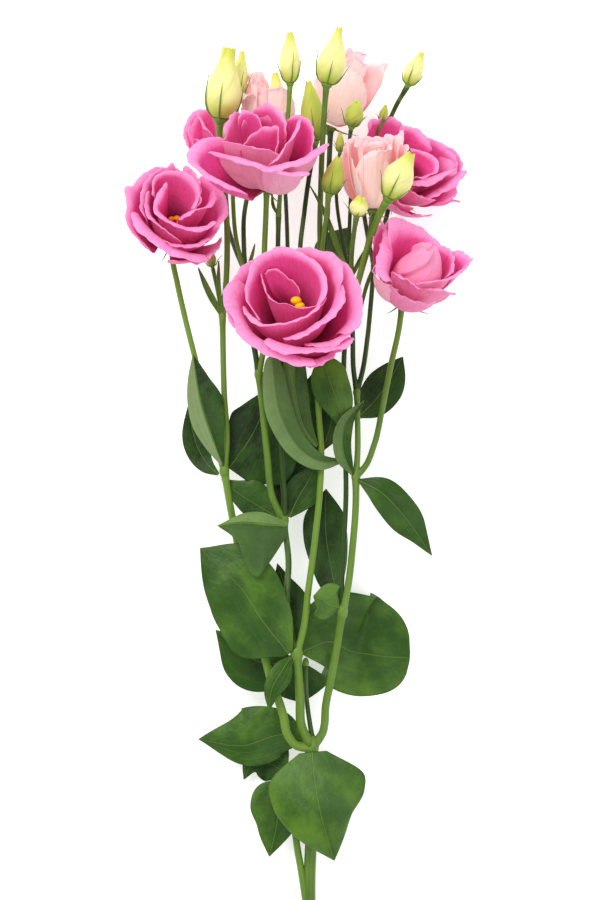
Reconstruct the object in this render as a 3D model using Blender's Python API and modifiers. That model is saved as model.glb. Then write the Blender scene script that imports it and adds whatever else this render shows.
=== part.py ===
"""A cut spray of double lisianthus, lying on a surface.

The main stem's cut end points to -Y and the blooms to +Y, and +Z is up. Every place below is in
millimetres in the working frame, whose Y starts at the cut end, and becomes metres in the mesh.
"""

import math

import bmesh
import bpy
import numpy as np
from mathutils import Matrix, Vector

MM = 0.001

# Thickness of the blades and the clearance between pieces that touch
PETAL_THICKNESS = 0.75
LEAF_THICKNESS = 0.8
SEAT_GAP = 0.35

# Green cups under the flowers: radius at the stalk, radius at the seat, and length. A bud's cup widens with
# the bud. A stalk ends inside its cup, this far below the seat
BLOOM_CUP = (1.6, 3.2, 5.0)
BUD_CUP = (1.0, 0.36, 2.2)
LEAST_CUP_RADIUS = 1.3
STALK_SINK = 1.5

# How finely stems, blades and buds are divided
STEM_STEP = 42.0
THIN_STEM = 1.55
INNER_CELLS = (3, 3)
OUTER_CELLS = (4, 3)
LEAF_CELLS = (4, 5)
SMALL_LEAF_CELLS = (2, 4)
BRACT_CELLS = (2, 3)
BUD_SIDES = 7
BUD_RINGS = 6

# Nodes of the stem: centre and radius of the swelling
JOINTS = {
    "base": ((7, 150, 20), 5.2),
    "knot": ((8.5, 88, 9), 4.6),
    "shoot": ((-5, 132, 13), 3.0),
    "middle": ((-2, 207, 30), 4.6),
    "back": ((3.5, 201, 22), 2.4),
    "left_fork": ((-10, 289, 38), 3.8),
    "right_low": ((26, 233, 33), 4.0),
    "right_mid": ((34, 316, 40), 3.4),
    "right_high": ((34.5, 367, 42), 2.8),
    "far_left": ((-46, 319, 38), 3.6),
    "left_high": ((-47, 413, 45), 2.8),
    "upper_fork": ((-25, 378, 46), 3.2),
    "upper_pair": ((-33, 439, 46), 2.4),
    "centre_fork": ((-10, 372, 42), 2.6),
    "centre_high": ((-13, 474, 46), 2.2),
    "trio": ((12.5, 446, 43), 2.8),
    "right_fork": ((28, 412, 45), 2.6),
    "twigs": ((31, 436, 49), 2.4),
    "outer_fork": ((45, 444, 37), 2.4),
}

# Stems: the places that each one runs through, and its radius at the start and the end
STEMS = {
    "main": (
        [(6, 0, 3.25), (6, 40, 4.9), (6, 68, 6.8), (7, 92, 9.5), (8, 122, 14.5), (7, 150, 20)],
        3.6, 3.6,
    ),
    "side_shoot": (
        [(5, 42, 5), (1, 69, 7), (-2, 87, 8), (-4, 104, 9), (-5, 120, 11), (-5, 132, 13)],
        2.3, 1.9,
    ),
    "left": (
        [(7, 149, 20), (-2, 150, 23), (-8, 158, 25.5), (-10, 168, 27), (-18, 192, 28), (-27, 228, 29),
         (-36, 264, 30), (-43, 300, 34), (-46, 319, 38)],
        2.7, 2.1,
    ),
    "centre": ([(6, 151, 21), (1, 162, 25), (0, 180, 28), (-2, 207, 30)], 2.8, 2.6),
    "thin": ([(8, 152, 20), (6, 164, 21.5), (4, 180, 22), (3.5, 201, 22)], 1.5, 1.3),
    "right": ([(8, 150, 20), (13, 156, 21.5), (16, 176, 24), (20, 196, 27), (26, 233, 33)], 2.5, 2.2),
    "left_centre": ([(-2, 207, 30), (-6, 220, 33), (-8, 242, 36), (-7, 264, 38), (-10, 289, 38)], 1.9, 1.8),
    "right_centre": (
        [(-2, 207, 30), (2, 222, 33), (5, 246, 36), (9, 276, 38), (12, 306, 39), (13, 328, 40.5),
         (11, 362, 42), (12, 400, 42), (12.5, 446, 43)],
        2.0, 1.7,
    ),
    "upper_left": (
        [(-10, 289, 38), (-16, 301, 41), (-20, 330, 44), (-23, 360, 45), (-25, 378, 46)],
        2.1, 1.9,
    ),
    "upper_bloom": (
        [(-25, 378, 46), (-22.5, 390, 48), (-21.5, 420, 51), (-21.5, 450, 54), (-20.5, 474, 56),
         (-20, 489, 62)],
        1.7, 1.6,
    ),
    "upper_back": ([(-25, 378, 46), (-27, 390, 46), (-31, 412, 46), (-33, 439, 46)], 1.7, 1.6),
    "bud_b": ([(-33, 439, 46), (-38, 456, 47), (-40.5, 482, 48), (-40, 512, 50), (-38, 542, 50)], 1.3, 1.2),
    "pale_left": (
        [(-33, 439, 46), (-34, 455, 44.5), (-33.5, 478, 41), (-28, 498, 39), (-22, 510, 38)],
        1.4, 1.4,
    ),
    "back_left": ([(-33, 439, 46), (-39, 453, 35), (-45, 473, 18), (-46.5, 497, 6.77)], 1.4, 1.4),
    "centre_left": (
        [(-10, 289, 38), (-9.5, 302, 40), (-11, 320, 41), (-12, 345, 42), (-10, 372, 42)],
        1.9, 1.7,
    ),
    "front_bloom": ([(-10, 372, 42), (-8, 385, 45), (-5.5, 394, 50.5), (-3.5, 401, 57.5)], 1.8, 1.9),
    "centre_upper": ([(-10, 372, 42), (-12, 400, 42), (-13.5, 440, 44), (-13, 474, 46)], 1.5, 1.4),
    "bud_d": ([(-13, 474, 46), (-11, 500, 46), (-7.5, 530, 52), (-6, 552, 58)], 1.3, 1.3),
    "bud_c": (
        [(-10, 372, 42), (-8, 400, 40.5), (-7.5, 450, 34), (-9, 490, 24), (-11, 518, 17), (-13, 538, 16)],
        1.3, 1.2,
    ),
    "bud_e": (
        [(11.5, 395, 42), (4, 420, 43), (0, 450, 44), (2.5, 475, 45), (6, 500, 47), (9, 518, 50)],
        1.4, 1.4,
    ),
    "bud_f": (
        [(12.5, 446, 43), (12, 466, 50), (12.5, 490, 55), (13.5, 516, 60), (15, 540, 65), (16, 550, 68)],
        1.6, 1.6,
    ),
    "bud_k": ([(12.5, 446, 43), (14, 458, 52), (15.5, 470, 63), (17.5, 484, 74)], 1.4, 1.3),
    "pale_top": ([(12.5, 446, 43), (16, 468, 36), (17.5, 498, 24), (19.5, 532, 13.32)], 1.6, 1.6),
    "right_thin": (
        [(26, 233, 33), (25.5, 246, 34), (26.5, 270, 35.5), (28, 305, 38), (27, 346, 40.5), (26.5, 381, 42.5),
         (28, 412, 45)],
        1.5, 1.5,
    ),
    "bud_l": (
        [(28, 412, 45), (33, 426, 51), (38, 444, 60), (43, 461, 72), (48, 473, 82), (52, 480, 88)],
        1.8, 2.1,
    ),
    "pale_right": (
        [(28, 412, 45), (34, 430, 46), (40, 452, 48), (43, 468, 52.5), (44, 476.5, 54.5)],
        1.5, 1.5,
    ),
    "right_thick": ([(26, 233, 33), (29, 247, 35), (32, 272, 37), (34, 300, 39), (34, 316, 40)], 2.1, 2.0),
    "right_upper": ([(34, 316, 40), (35, 330, 41), (35, 348, 42), (34.5, 367, 42)], 1.8, 1.6),
    "right_bloom": (
        [(34, 316, 40), (39, 321, 41), (45, 335, 43.5), (50, 358, 46), (55, 383, 47), (60, 406, 47.5),
         (62, 421, 52)],
        1.8, 1.7,
    ),
    "inner_right": ([(34.5, 367, 42), (32.5, 380, 43.5), (32, 400, 46), (31, 436, 49)], 1.5, 1.4),
    "bud_m": ([(31, 436, 49), (31, 448, 56), (32, 460, 70), (33.5, 470, 86)], 1.4, 1.4),
    "bud_i": (
        [(31, 436, 49), (30, 460, 42), (31, 490, 35), (31, 510, 40), (30, 520, 52), (31, 526, 60)],
        1.2, 1.1,
    ),
    "bud_j": ([(31, 436, 49), (25.5, 460, 47), (22, 486, 47), (22.5, 502, 52), (24, 511, 58)], 1.1, 1.0),
    "outer": ([(34.5, 367, 42), (38, 380, 42), (41, 400, 41), (43, 420, 39.5), (45, 444, 37)], 1.5, 1.4),
    "back_right": ([(45, 444, 37), (48, 456, 28), (53, 474, 14.5), (57.5, 491, 6.5)], 1.4, 1.5),
    "bud_g": (
        [(45, 444, 37), (41, 466, 26), (39, 486, 15), (42, 508, 10), (52, 528, 15), (60, 545, 25),
         (66, 555, 32)],
        1.3, 1.4,
    ),
    "bud_h": ([(42, 508, 10), (45, 520, 15), (50, 533, 26)], 1.0, 1.0),
    "far_left_bloom": (
        [(-46, 319, 38), (-51, 334, 37), (-57, 358, 36), (-63, 384, 36), (-70, 412, 36), (-75, 434, 34.5),
         (-78, 450, 35), (-77.5, 459.5, 40)],
        1.7, 1.7,
    ),
    "far_left_bud": (
        [(-46, 319, 38), (-44.5, 336, 40), (-46, 366, 42.5), (-47, 413, 45)],
        1.8, 1.7,
    ),
    "bud_a": (
        [(-47, 413, 45), (-45, 430, 47), (-44, 455, 49.5), (-45, 483, 51), (-48.5, 512, 55), (-48, 530, 62)],
        1.7, 1.8,
    ),
    "bud_n": ([(-47, 413, 45), (-50, 428, 45.5), (-53, 443, 46)], 1.1, 1.0),
    "bud_o": ([(-46, 496, 52.5), (-45, 508, 48), (-44.5, 518, 45)], 0.9, 0.9),
}

# Buds: seat on the stem's tip, the way the bud points, length, widest radius, place of the widest part
# along its length, and the radius of the blunt tip
BUDS = {
    "a": ((-48, 530, 62), (0.13, 0.98, 0.12), 42, 10.8, 0.30, 4.0),
    "b": ((-38, 542, 50), (0.10, 0.99, 0.0), 30, 5.0, 0.38, 1.2),
    "c": ((-13, 538, 16), (-0.08, 0.99, 0.05), 26, 4.9, 0.42, 1.6),
    "d": ((-6, 552, 58), (0.0, 1.0, 0.05), 30, 6.0, 0.34, 1.5),
    "e": ((9, 518, 50), (-0.10, 0.99, 0.05), 36, 6.7, 0.42, 1.4),
    "f": ((16, 550, 68), (0.22, 0.97, 0.05), 34, 8.2, 0.36, 1.6),
    "g": ((66, 555, 32), (0.40, 0.91, 0.05), 21, 5.4, 0.36, 1.1),
    "h": ((50, 533, 26), (0.25, 0.95, 0.1), 10, 2.7, 0.40, 0.8),
    "i": ((31, 526, 60), (0.20, 0.93, 0.30), 15, 5.4, 0.45, 1.8),
    "j": ((24, 511, 58), (0.0, 0.95, 0.3), 11, 2.4, 0.40, 0.8),
    "k": ((17.5, 484, 74), (0.24, 0.96, 0.1), 22, 6.0, 0.38, 1.5),
    "l": ((52, 480, 88), (0.44, 0.88, 0.15), 29, 8.6, 0.42, 2.2),
    "m": ((33.5, 470, 86), (0.20, 0.85, 0.45), 11, 5.2, 0.50, 2.2),
    "n": ((-53, 443, 46), (-0.20, 0.95, 0.1), 10, 3.0, 0.42, 0.9),
    "o": ((-44.5, 518, 45), (0.05, 0.98, -0.05), 15, 2.6, 0.40, 0.8),
}
YOUNG_BUDS = "ehijkno"
SEPAL_BUDS = "adfglm"
SEPALS = 2

# Petals: radius and height of their feet on the core, how far each foot stands above the one outside it,
# and the ripple of the rim
PETAL_FOOT_RADIUS = 2.4
PETAL_FOOT_HEIGHT = 1.0
PETAL_FOOT_STEP = 0.14
PETAL_RIPPLE = 0.7

# Wall of a petal: the share of its reach that follows the ellipse while the rest grows evenly, its length
# against the straight line to the crest, how far the rim drops towards the sides, and its width at the foot
WALL_ELLIPSE = 0.8
WALL_LENGTH = 1.12
RIM_DROP = 0.20
FOOT_WIDTH = 0.7

# Petals whose crest has a smaller radius than this are divided more coarsely
INNER_RADIUS = 24.5

# Core that the petals stand on: radius, and height against its width
CORE = (8.6, 0.62)

# Blooms: seat on the stem's tip, the way the cup opens, colour, and its petals. Each petal has its azimuth,
# half the angle that it covers, radius and height of its crest, length of the rim beyond the crest, and
# how far that rim rolls over
BLOOMS = {
    "bloom_front": ((-3.5, 401, 57.5), (-0.03, 0.50, 0.866), "deep", [
        (58, 86, 23, 43, 5, 40),
        (278, 84, 16.8, 39, 4, 60),
        (170, 64, 18.8, 41, 4, 50),
        (15, 62, 26.5, 38, 9, 90),
        (315, 64, 28.4, 33, 6, 80),
        (145, 56, 26.5, 37, 9, 90),
        (225, 60, 30.2, 31, 16, 130),
        (285, 54, 32.5, 28, 9, 130),
        (352, 50, 34.6, 28, 13, 80),
        (58, 50, 31.2, 31, 11, 80),
        (112, 40, 34.6, 27, 8, 70),
        (168, 45, 32.4, 28, 11, 100),
        (290, 40, 35.5, 17, 9, 60),
    ]),
    "bloom_left": ((-77.5, 459.5, 40), (0.12, 0.45, 0.885), "deep", [
        (62, 84, 16.5, 36, 4, 40),
        (308, 70, 14.2, 32, 4, 70),
        (5, 50, 19.5, 32, 6, 70),
        (178, 58, 12.5, 34, 3, 30),
        (212, 68, 17, 31, 5, 80),
        (155, 55, 20, 29.5, 6, 90),
        (340, 46, 24, 26, 8, 70),
        (250, 60, 22, 26, 14, 110),
        (180, 50, 24.6, 24.5, 10, 90),
        (95, 56, 22.6, 29, 9, 60),
        (25, 46, 26.2, 25.5, 9, 80),
        (300, 46, 27, 18, 9, 50),
    ]),
    "bloom_upper": ((-20, 489, 62), (0.0, 0.65, 0.76), "deep", [
        (245, 78, 9, 34, 3, 30),
        (70, 82, 14, 37, 3, 30),
        (330, 60, 16.6, 32, 5, 60),
        (170, 58, 16.8, 32, 5, 60),
        (258, 62, 20, 28, 6, 100),
        (20, 46, 21.4, 31, 11, 60),
        (325, 52, 24.5, 26, 14, 80),
        (90, 46, 18.8, 34, 5, 50),
        (145, 46, 22.2, 30, 8, 60),
        (200, 50, 26.5, 25.5, 22, 75),
    ]),
    "bloom_back_left": ((-46.5, 497, 6.77), (-0.10, 0.95, 0.30), "deep", [
        (200, 84, 11, 36, 4, 40),
        (30, 84, 8.5, 37, 3, 20),
        (130, 55, 14.5, 32, 7, 50),
        (260, 58, 14, 29, 6, 70),
        (60, 60, 12, 33, 5, 40),
        (190, 58, 17.2, 28, 9, 80),
        (0, 58, 15, 28, 6, 50),
    ]),
    "bloom_pale_left": ((-22, 510, 38), (0.05, 0.98, 0.2), "pale", [
        (180, 84, 10, 40, 4, -10),
        (0, 84, 7.5, 38, 3, -10),
        (60, 58, 12.6, 38, 4, 20),
        (265, 58, 13.5, 29, 7, 40),
        (0, 60, 16.2, 32, 4, 20),
        (150, 58, 16, 33, 5, 30),
    ]),
    "bloom_pale_top": ((19.5, 532, 13.32), (0.38, 0.92, 0.10), "pale", [
        (90, 84, 11, 36, 8, -20),
        (250, 84, 9, 34, 8, -20),
        (60, 60, 14, 27, 14, -15),
        (180, 58, 16.6, 22, 12, 10),
        (14, 36, 16.4, 28, 12, 35),
        (282, 56, 18.8, 24, 14, -25),
    ]),
    "bloom_pale_right": ((44, 476.5, 54.5), (0.02, 0.90, 0.42), "pale", [
        (90, 84, 8.5, 37, 3, -20),
        (250, 84, 10.6, 35, 4, -20),
        (0, 58, 12.8, 35, 4, -10),
        (110, 54, 13, 34, 5, 10),
        (180, 56, 15.3, 30, 6, 20),
        (330, 48, 15.4, 32, 6, 5),
        (268, 58, 18, 28, 5, -10),
        (40, 50, 18.2, 30, 8, 40),
    ]),
    "bloom_back_right": ((57.5, 491, 6.5), (0.45, 0.40, 0.80), "deep", [
        (250, 74, 8.5, 33, 3, 30),
        (80, 74, 10.5, 34, 3, 40),
        (340, 58, 13.6, 31, 6, 80),
        (160, 58, 14.4, 31, 6, 70),
        (280, 58, 17.5, 28, 8, 90),
        (40, 50, 18, 29, 9, 70),
        (125, 52, 20.2, 27, 14, 60),
        (320, 48, 21.3, 24, 10, 90),
        (200, 48, 23.2, 24, 8, 60),
        (0, 44, 24.4, 22, 9, 80),
        (250, 48, 25.6, 19, 5, 60),
    ]),
    "bloom_right": ((62, 421, 52), (0.25, 0.60, 0.76), "deep", [
        (70, 88, 8.6, 26, 9, -45),
        (250, 90, 10, 25, 9, -45),
        (285, 58, 15, 24, 4, 60),
        (200, 48, 17.2, 24, 7, 80),
        (330, 54, 18, 23, 9, 70),
        (45, 48, 16, 31, 5, 50),
        (100, 58, 20, 33, 10, 60),
        (150, 46, 23.2, 28, 12, 80),
        (8, 40, 21.6, 25, 15, 60),
        (240, 48, 19.6, 20, 3, 30),
        (320, 38, 22.6, 18, 9, 90),
    ]),
}

# Radius of the small foot that a heart's threads leave together
HEART_FOOT = 1.5

# Hearts of the two blooms that show them: bloom, colour, radius of the threads, and the tips of the threads
# in the bloom's frame with the radius of each
HEARTS = {
    "stigma": ("bloom_front", "yellow", 0.9, [((0.8, 3.6, 27.0), 2.6), ((4.6, 1.8, 26.4), 2.4)]),
    "stamens": ("bloom_left", "orange", 0.6, [
        ((-2.4, 1.0, 24.0), 1.7), ((1.0, 1.8, 26.0), 1.9), ((2.0, -2.0, 24.5), 1.7),
    ]),
}

# Leaves: the places that the midrib runs through, half widths to the left and to the right of it from
# base to tip, and how far the two edges lift from the middle (below zero they droop)
LEAVES = {
    "leaf_front": (
        [(7.4, 146.3, 24.9), (9, 130, 32), (12, 110, 37), (20, 84, 27)],
        (9, 31, 32, 21, 12, 0.8), (8, 25, 26, 22, 14, 0.8), -6, -7,
    ),
    "leaf_under": (
        [(-5.7, 127.7, 14.6), (-11, 117, 18), (-16, 98, 17), (-21, 82, 12)],
        (1, 7, 11, 11, 6, 0.8), (1, 16, 18, 13, 8, 0.8), -2, -2,
    ),
    "leaf_tuck": (
        [(-8.3, 131.7, 11.7), (-20, 137, 9), (-30, 136, 9), (-35, 127, 7)],
        (1, 9, 11, 8, 4, 0.8), (2, 14, 14, 9, 4, 0.8), -1, -1,
    ),
    "leaf_low_left": (
        [(3.5, 153, 16.8), (-12, 156, 16), (-33, 149.5, 17), (-63, 152.5, 10)],
        (2, 12, 15, 12, 6, 0.8), (2, 14, 22, 21, 12, 0.8), -2, -3,
    ),
    "leaf_big_left": (
        [(-6.8, 207.4, 33.5), (-22, 227, 41), (-36, 248, 42), (-61, 272, 34)],
        (3, 24, 25, 23, 16, 0.8), (3, 16, 21, 23, 19, 0.8), -3, -1,
    ),
    "leaf_behind_left": (
        [(-4.8, 204.5, 26.6), (-20, 200, 20), (-35, 206, 19), (-52, 221, 20)],
        (1, 13, 19, 17, 8, 0.8), (1, 8, 12, 11, 6, 0.8), -2, 0,
    ),
    "leaf_folded": (
        [(-7.3, 285.6, 41.3), (-21, 287, 50), (-36, 288, 50), (-50, 286, 45)],
        (6, 24, 33, 24, 10, 0.8), (2, 5, 7, 6, 3, 0.8), -4, -3,
    ),
    "leaf_big_right": (
        [(1.3, 208, 26.8), (18, 213, 13), (34, 206, 2), (44, 204, -1.5), (68.5, 202, -1)],
        (2, 25, 38, 42, 34, 0.8), (2, 18, 24, 26, 20, 0.8), 0, 0,
    ),
    "leaf_hanging": (
        [(1.8, 200.6, 19.4), (0.5, 193, 15), (0, 185, 11.5), (1, 175, 10)],
        (1, 10, 11, 12, 9, 0.8), (1, 12, 16, 15, 10, 0.8), 0, 0,
    ),
    "leaf_small_left": (
        [(-5.6, 205.4, 33.2), (-12, 196, 38), (-17, 187, 39), (-19, 173, 37)],
        (1, 6, 8, 7, 4, 0.8), (1, 5, 6, 5, 3, 0.8), -1, -1,
    ),
    "leaf_dark_centre": (
        [(-1.8, 210.7, 26.7), (-5, 228, 21.5), (-9, 246, 18.5), (-14, 262, 18.5)],
        (1, 9, 12, 11, 6, 0.8), (1, 6, 13, 11, 5, 0.8), 0, 0,
    ),
    "leaf_dark_right": (
        [(24.8, 236, 30.2), (20, 255, 25), (16, 280, 23), (16, 308, 24)],
        (1, 9, 11, 12, 8, 0.8), (1, 6, 11, 13, 8, 0.8), 0, 0,
    ),
    "leaf_curl": (
        [(23.6, 235.5, 35.6), (18, 238, 40), (14, 240, 42), (10, 241, 41)],
        (1, 6, 8, 8, 5, 0.8), (1, 6, 9, 9, 5, 0.8), -2, -2,
    ),
    "leaf_right_tip": (
        [(35.7, 313.5, 42.2), (48, 307, 46), (63, 292, 41), (81, 267, 27)],
        (1, 9, 10.5, 9.5, 5, 0.8), (1, 8, 10.5, 10, 5, 0.8), -1, -1,
    ),
    "leaf_curved_up": (
        [(31.7, 317.1, 43.1), (26.5, 330, 48), (27, 346, 49), (39, 362, 46)],
        (1, 5, 6, 5, 3, 0.8), (1, 4, 5, 5, 2.5, 0.8), 2, 2,
    ),
    "leaf_dark_outer": (
        [(35.5, 351.7, 39.8), (45, 361, 33), (54, 373, 30), (63, 389, 30)],
        (1, 9, 12, 12, 8, 0.8), (1, 8, 11, 11, 7, 0.8), 0, 0,
    ),
    "leaf_olive": (
        [(26.6, 344.8, 42.4), (23, 360, 50), (18, 374, 52), (15.5, 387, 49)],
        (1, 7, 11, 12, 8, 0.8), (1, 7, 10, 10, 8, 0.8), -3, -2,
    ),
    "leaf_long": (
        [(26.3, 325.2, 40.2), (12, 325, 47), (-1, 334, 51), (-10, 348, 52), (-19, 379, 52)],
        (1, 5, 7, 8, 6, 0.8), (1, 5, 7, 8, 6, 0.8), -1, -1,
    ),
    "leaf_long_inner": (
        [(10.5, 334, 43), (3, 345, 46), (-2, 360, 47), (-3, 383, 46)],
        (1, 5, 7, 8, 6, 0.8), (1, 5, 6, 6, 5, 0.8), -1, -1,
    ),
    "leaf_narrow": (
        [(10.3, 330, 38.3), (7, 344, 36), (6, 358, 35), (7, 372, 36)],
        (1, 3, 4, 4, 3, 0.8), (1, 3, 4, 4, 3, 0.8), 0, 0,
    ),
    "leaf_shadow": (
        [(14, 332, 38.3), (18, 345, 35), (20, 356, 34), (22, 368, 35)],
        (1, 5, 6, 6, 4, 0.8), (1, 5, 6, 6, 4, 0.8), 0, 0,
    ),
    "leaf_outer_left": (
        [(-49.8, 317, 36.6), (-56.5, 323, 32.5), (-64, 337, 31), (-68, 361, 31)],
        (1, 6, 8, 7, 4, 0.8), (1, 4, 7, 7, 4, 0.8), 0, 0,
    ),
    "leaf_sword_left": (
        [(-47, 322.5, 41), (-53, 339, 45), (-60, 361, 46), (-65, 390, 44)],
        (1, 5, 8, 8, 5, 0.8), (1, 6, 11, 13, 7, 0.8), 2, 0,
    ),
    "leaf_dark_left": (
        [(-43.4, 320.7, 35.9), (-34, 334, 32), (-25, 350, 31), (-20, 369, 33)],
        (1, 9, 15, 17, 11, 0.8), (4, 27, 33, 26, 12, 0.8), 0, 0,
    ),
    "leaf_fork_left": (
        [(-13.5, 291, 37), (-23, 298, 36), (-32, 303, 35), (-41, 308, 34)],
        (1, 5, 8, 7, 4, 0.8), (1, 7, 12, 11, 6, 0.8), 0, 0,
    ),
    "leaf_fork_right": (
        [(-6.5, 291, 39.5), (-1, 303, 34), (5, 313, 33), (11, 325, 34)],
        (1, 5, 7, 7, 4, 0.8), (1, 6, 9, 9, 5, 0.8), 0, 0,
    ),
    "leaf_fork_back": (
        [(-10.2, 292, 35.2), (-7, 309, 28), (-3, 324, 26), (0, 341, 27)],
        (1, 7, 10, 10, 6, 0.8), (1, 7, 9, 9, 5, 0.8), 0, 0,
    ),
    "leaf_high": (
        [(13.6, 443.6, 40.3), (19, 449, 34), (25, 458, 33), (31, 468, 34)],
        (1, 5, 7, 7, 4, 0.8), (1, 4, 6, 6, 3, 0.8), 0, 0,
    ),
}
SMALL_LEAVES = (
    "leaf_tuck", "leaf_small_left", "leaf_curl", "leaf_curved_up", "leaf_narrow", "leaf_shadow",
    "leaf_outer_left", "leaf_fork_left", "leaf_high", "leaf_long_inner", "leaf_hanging",
)

# Narrow upper leaves that grow with the stem: midrib places and half width
BRACTS = [
    ([(-47, 413, 46), (-54, 425, 49), (-62, 443, 50)], 1.9),
    ([(-47, 413, 46), (-49, 428, 52), (-49, 447, 52)], 1.4),
    ([(-47, 413, 46), (-44, 421, 51), (-41, 432, 52)], 1.2),
    ([(45, 444, 37), (40, 430, 41), (36, 412, 42)], 1.1),
    ([(31, 436, 49), (36, 446, 55), (43, 458, 56)], 1.2),
    ([(-33, 439, 46), (-30, 446, 49), (-27, 457, 50)], 1.0),
    ([(-13, 474, 46), (-16, 479, 48), (-17, 488, 48)], 0.9),
    ([(31, 436, 49), (25, 448, 53), (13, 478, 60), (5, 492, 60)], 1.6),
]


def clear_scene():
    """Empty the file of its objects."""
    for thing in list(bpy.data.objects):
        bpy.data.objects.remove(thing, do_unlink=True)


def new_collection(name):
    """A collection linked to the scene."""
    collection = bpy.data.collections.new(name)
    bpy.context.scene.collection.children.link(collection)
    return collection


def plant_material(name, colour, roughness):
    """A Principled BSDF with one colour."""
    material = bpy.data.materials.new(name)
    material.use_nodes = True
    shader = material.node_tree.nodes["Principled BSDF"]
    shader.inputs["Base Color"].default_value = (*colour, 1.0)
    shader.inputs["Roughness"].default_value = roughness
    shader.inputs["Metallic"].default_value = 0.0
    return material


def ease(value):
    """A smooth step from 0 to 1."""
    value = np.clip(value, 0.0, 1.0)
    return value * value * (3.0 - 2.0 * value)


def along(points, places):
    """A smooth curve through points, read at places from 0 to 1 (Catmull-Rom by chord length)."""
    points = np.array(points, float)
    chord = np.linalg.norm(np.diff(points, axis=0), axis=1)
    knots = np.concatenate([[0.0], np.cumsum(chord)])
    slopes = np.gradient(points, knots, axis=0)
    at = np.clip(np.asarray(places, float), 0.0, 1.0) * knots[-1]
    index = np.clip(np.searchsorted(knots, at, side="right") - 1, 0, len(chord) - 1)
    span = chord[index][:, None]
    t = ((at - knots[index]) / chord[index])[:, None]
    start, end = points[index], points[index + 1]
    return (
        (2 * t**3 - 3 * t**2 + 1) * start
        + (t**3 - 2 * t**2 + t) * span * slopes[index]
        + (3 * t**2 - 2 * t**3) * end
        + (t**3 - t**2) * span * slopes[index + 1]
    )


def unit(vector):
    """The vectors at length 1."""
    vector = np.asarray(vector, float)
    return vector / np.linalg.norm(vector, axis=-1, keepdims=True)


def blade_object(name, points, thickness):
    """A blade: a grid of points, split into triangles and given its thickness by Solidify.

    points has one row across the blade for each step along it.
    """
    rows, columns = points.shape[:2]
    mesh = bpy.data.meshes.new(name)
    form = bmesh.new()
    bmesh.ops.create_grid(form, x_segments=columns - 1, y_segments=rows - 1, size=0.5)
    order = sorted(form.verts, key=lambda vert: (round(vert.co.y, 4), round(vert.co.x, 4)))
    for vert, place in zip(order, points.reshape(-1, 3)):
        vert.co = Vector(place) * MM
    bmesh.ops.triangulate(form, faces=form.faces)
    form.to_mesh(mesh)
    form.free()
    blade = bpy.data.objects.new(name, mesh)
    bpy.context.scene.collection.objects.link(blade)
    wall = blade.modifiers.new("thickness", "SOLIDIFY")
    wall.thickness = thickness * MM
    wall.offset = 0.0
    return blade


def applied(thing):
    """The object with its modifiers, or its curve, made into a plain mesh."""
    graph = bpy.context.evaluated_depsgraph_get()
    mesh = bpy.data.meshes.new_from_object(thing.evaluated_get(graph))
    form = bmesh.new()
    form.from_mesh(mesh)
    bmesh.ops.remove_doubles(form, verts=form.verts, dist=1e-6)
    form.to_mesh(mesh)
    form.free()
    plain = bpy.data.objects.new(thing.name + "_solid", mesh)
    plain.matrix_world = thing.matrix_world
    bpy.context.scene.collection.objects.link(plain)
    bpy.data.objects.remove(thing, do_unlink=True)
    return plain


def tube(name, route, start_radius, end_radius, step=STEM_STEP, sides=6):
    """A round stem along a smooth route, tapering from its start to its end."""
    length = np.linalg.norm(np.diff(np.array(route, float), axis=0), axis=1).sum()
    count = max(3, int(round(length / step)) + 2)
    places = np.linspace(0.0, 1.0, count)
    points = along(route, places)
    curve = bpy.data.curves.new(name, "CURVE")
    curve.dimensions = "3D"
    curve.bevel_depth = start_radius * MM
    curve.bevel_resolution = (sides - 4) // 2
    curve.use_fill_caps = True
    line = curve.splines.new("POLY")
    line.points.add(count - 1)
    for point, place, share in zip(line.points, points, places):
        point.co = (*(Vector(place) * MM), 1.0)
        point.radius = 1.0 + share * (end_radius / start_radius - 1.0)
    stem = bpy.data.objects.new(name, curve)
    bpy.context.scene.collection.objects.link(stem)
    return applied(stem)


def ball(name, centre, radius, stretch=1.0, direction=(0, 0, 1), segments=6, rings=4):
    """A ball, stretched along a direction."""
    mesh = bpy.data.meshes.new(name)
    form = bmesh.new()
    bmesh.ops.create_uvsphere(form, u_segments=segments, v_segments=rings, radius=radius * MM)
    turn = Vector((0, 0, 1)).rotation_difference(Vector(direction)).to_matrix().to_4x4()
    place = Matrix.Translation(Vector(centre) * MM) @ turn @ Matrix.Diagonal((1, 1, stretch, 1))
    bmesh.ops.transform(form, matrix=place, verts=form.verts)
    form.to_mesh(mesh)
    form.free()
    thing = bpy.data.objects.new(name, mesh)
    bpy.context.scene.collection.objects.link(thing)
    return thing


def cup(name, seat, direction, start_radius, end_radius, length):
    """The green receptacle at a stem's tip, a cone with a flat top at its seat."""
    mesh = bpy.data.meshes.new(name)
    form = bmesh.new()
    bmesh.ops.create_cone(
        form, cap_ends=True, segments=6, radius1=start_radius * MM, radius2=end_radius * MM, depth=length * MM
    )
    turn = Vector((0, 0, 1)).rotation_difference(Vector(direction)).to_matrix().to_4x4()
    middle = Vector(seat) - Vector(direction) * (length / 2)
    bmesh.ops.transform(form, matrix=Matrix.Translation(middle * MM) @ turn, verts=form.verts)
    form.to_mesh(mesh)
    form.free()
    thing = bpy.data.objects.new(name, mesh)
    bpy.context.scene.collection.objects.link(thing)
    return thing


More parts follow.
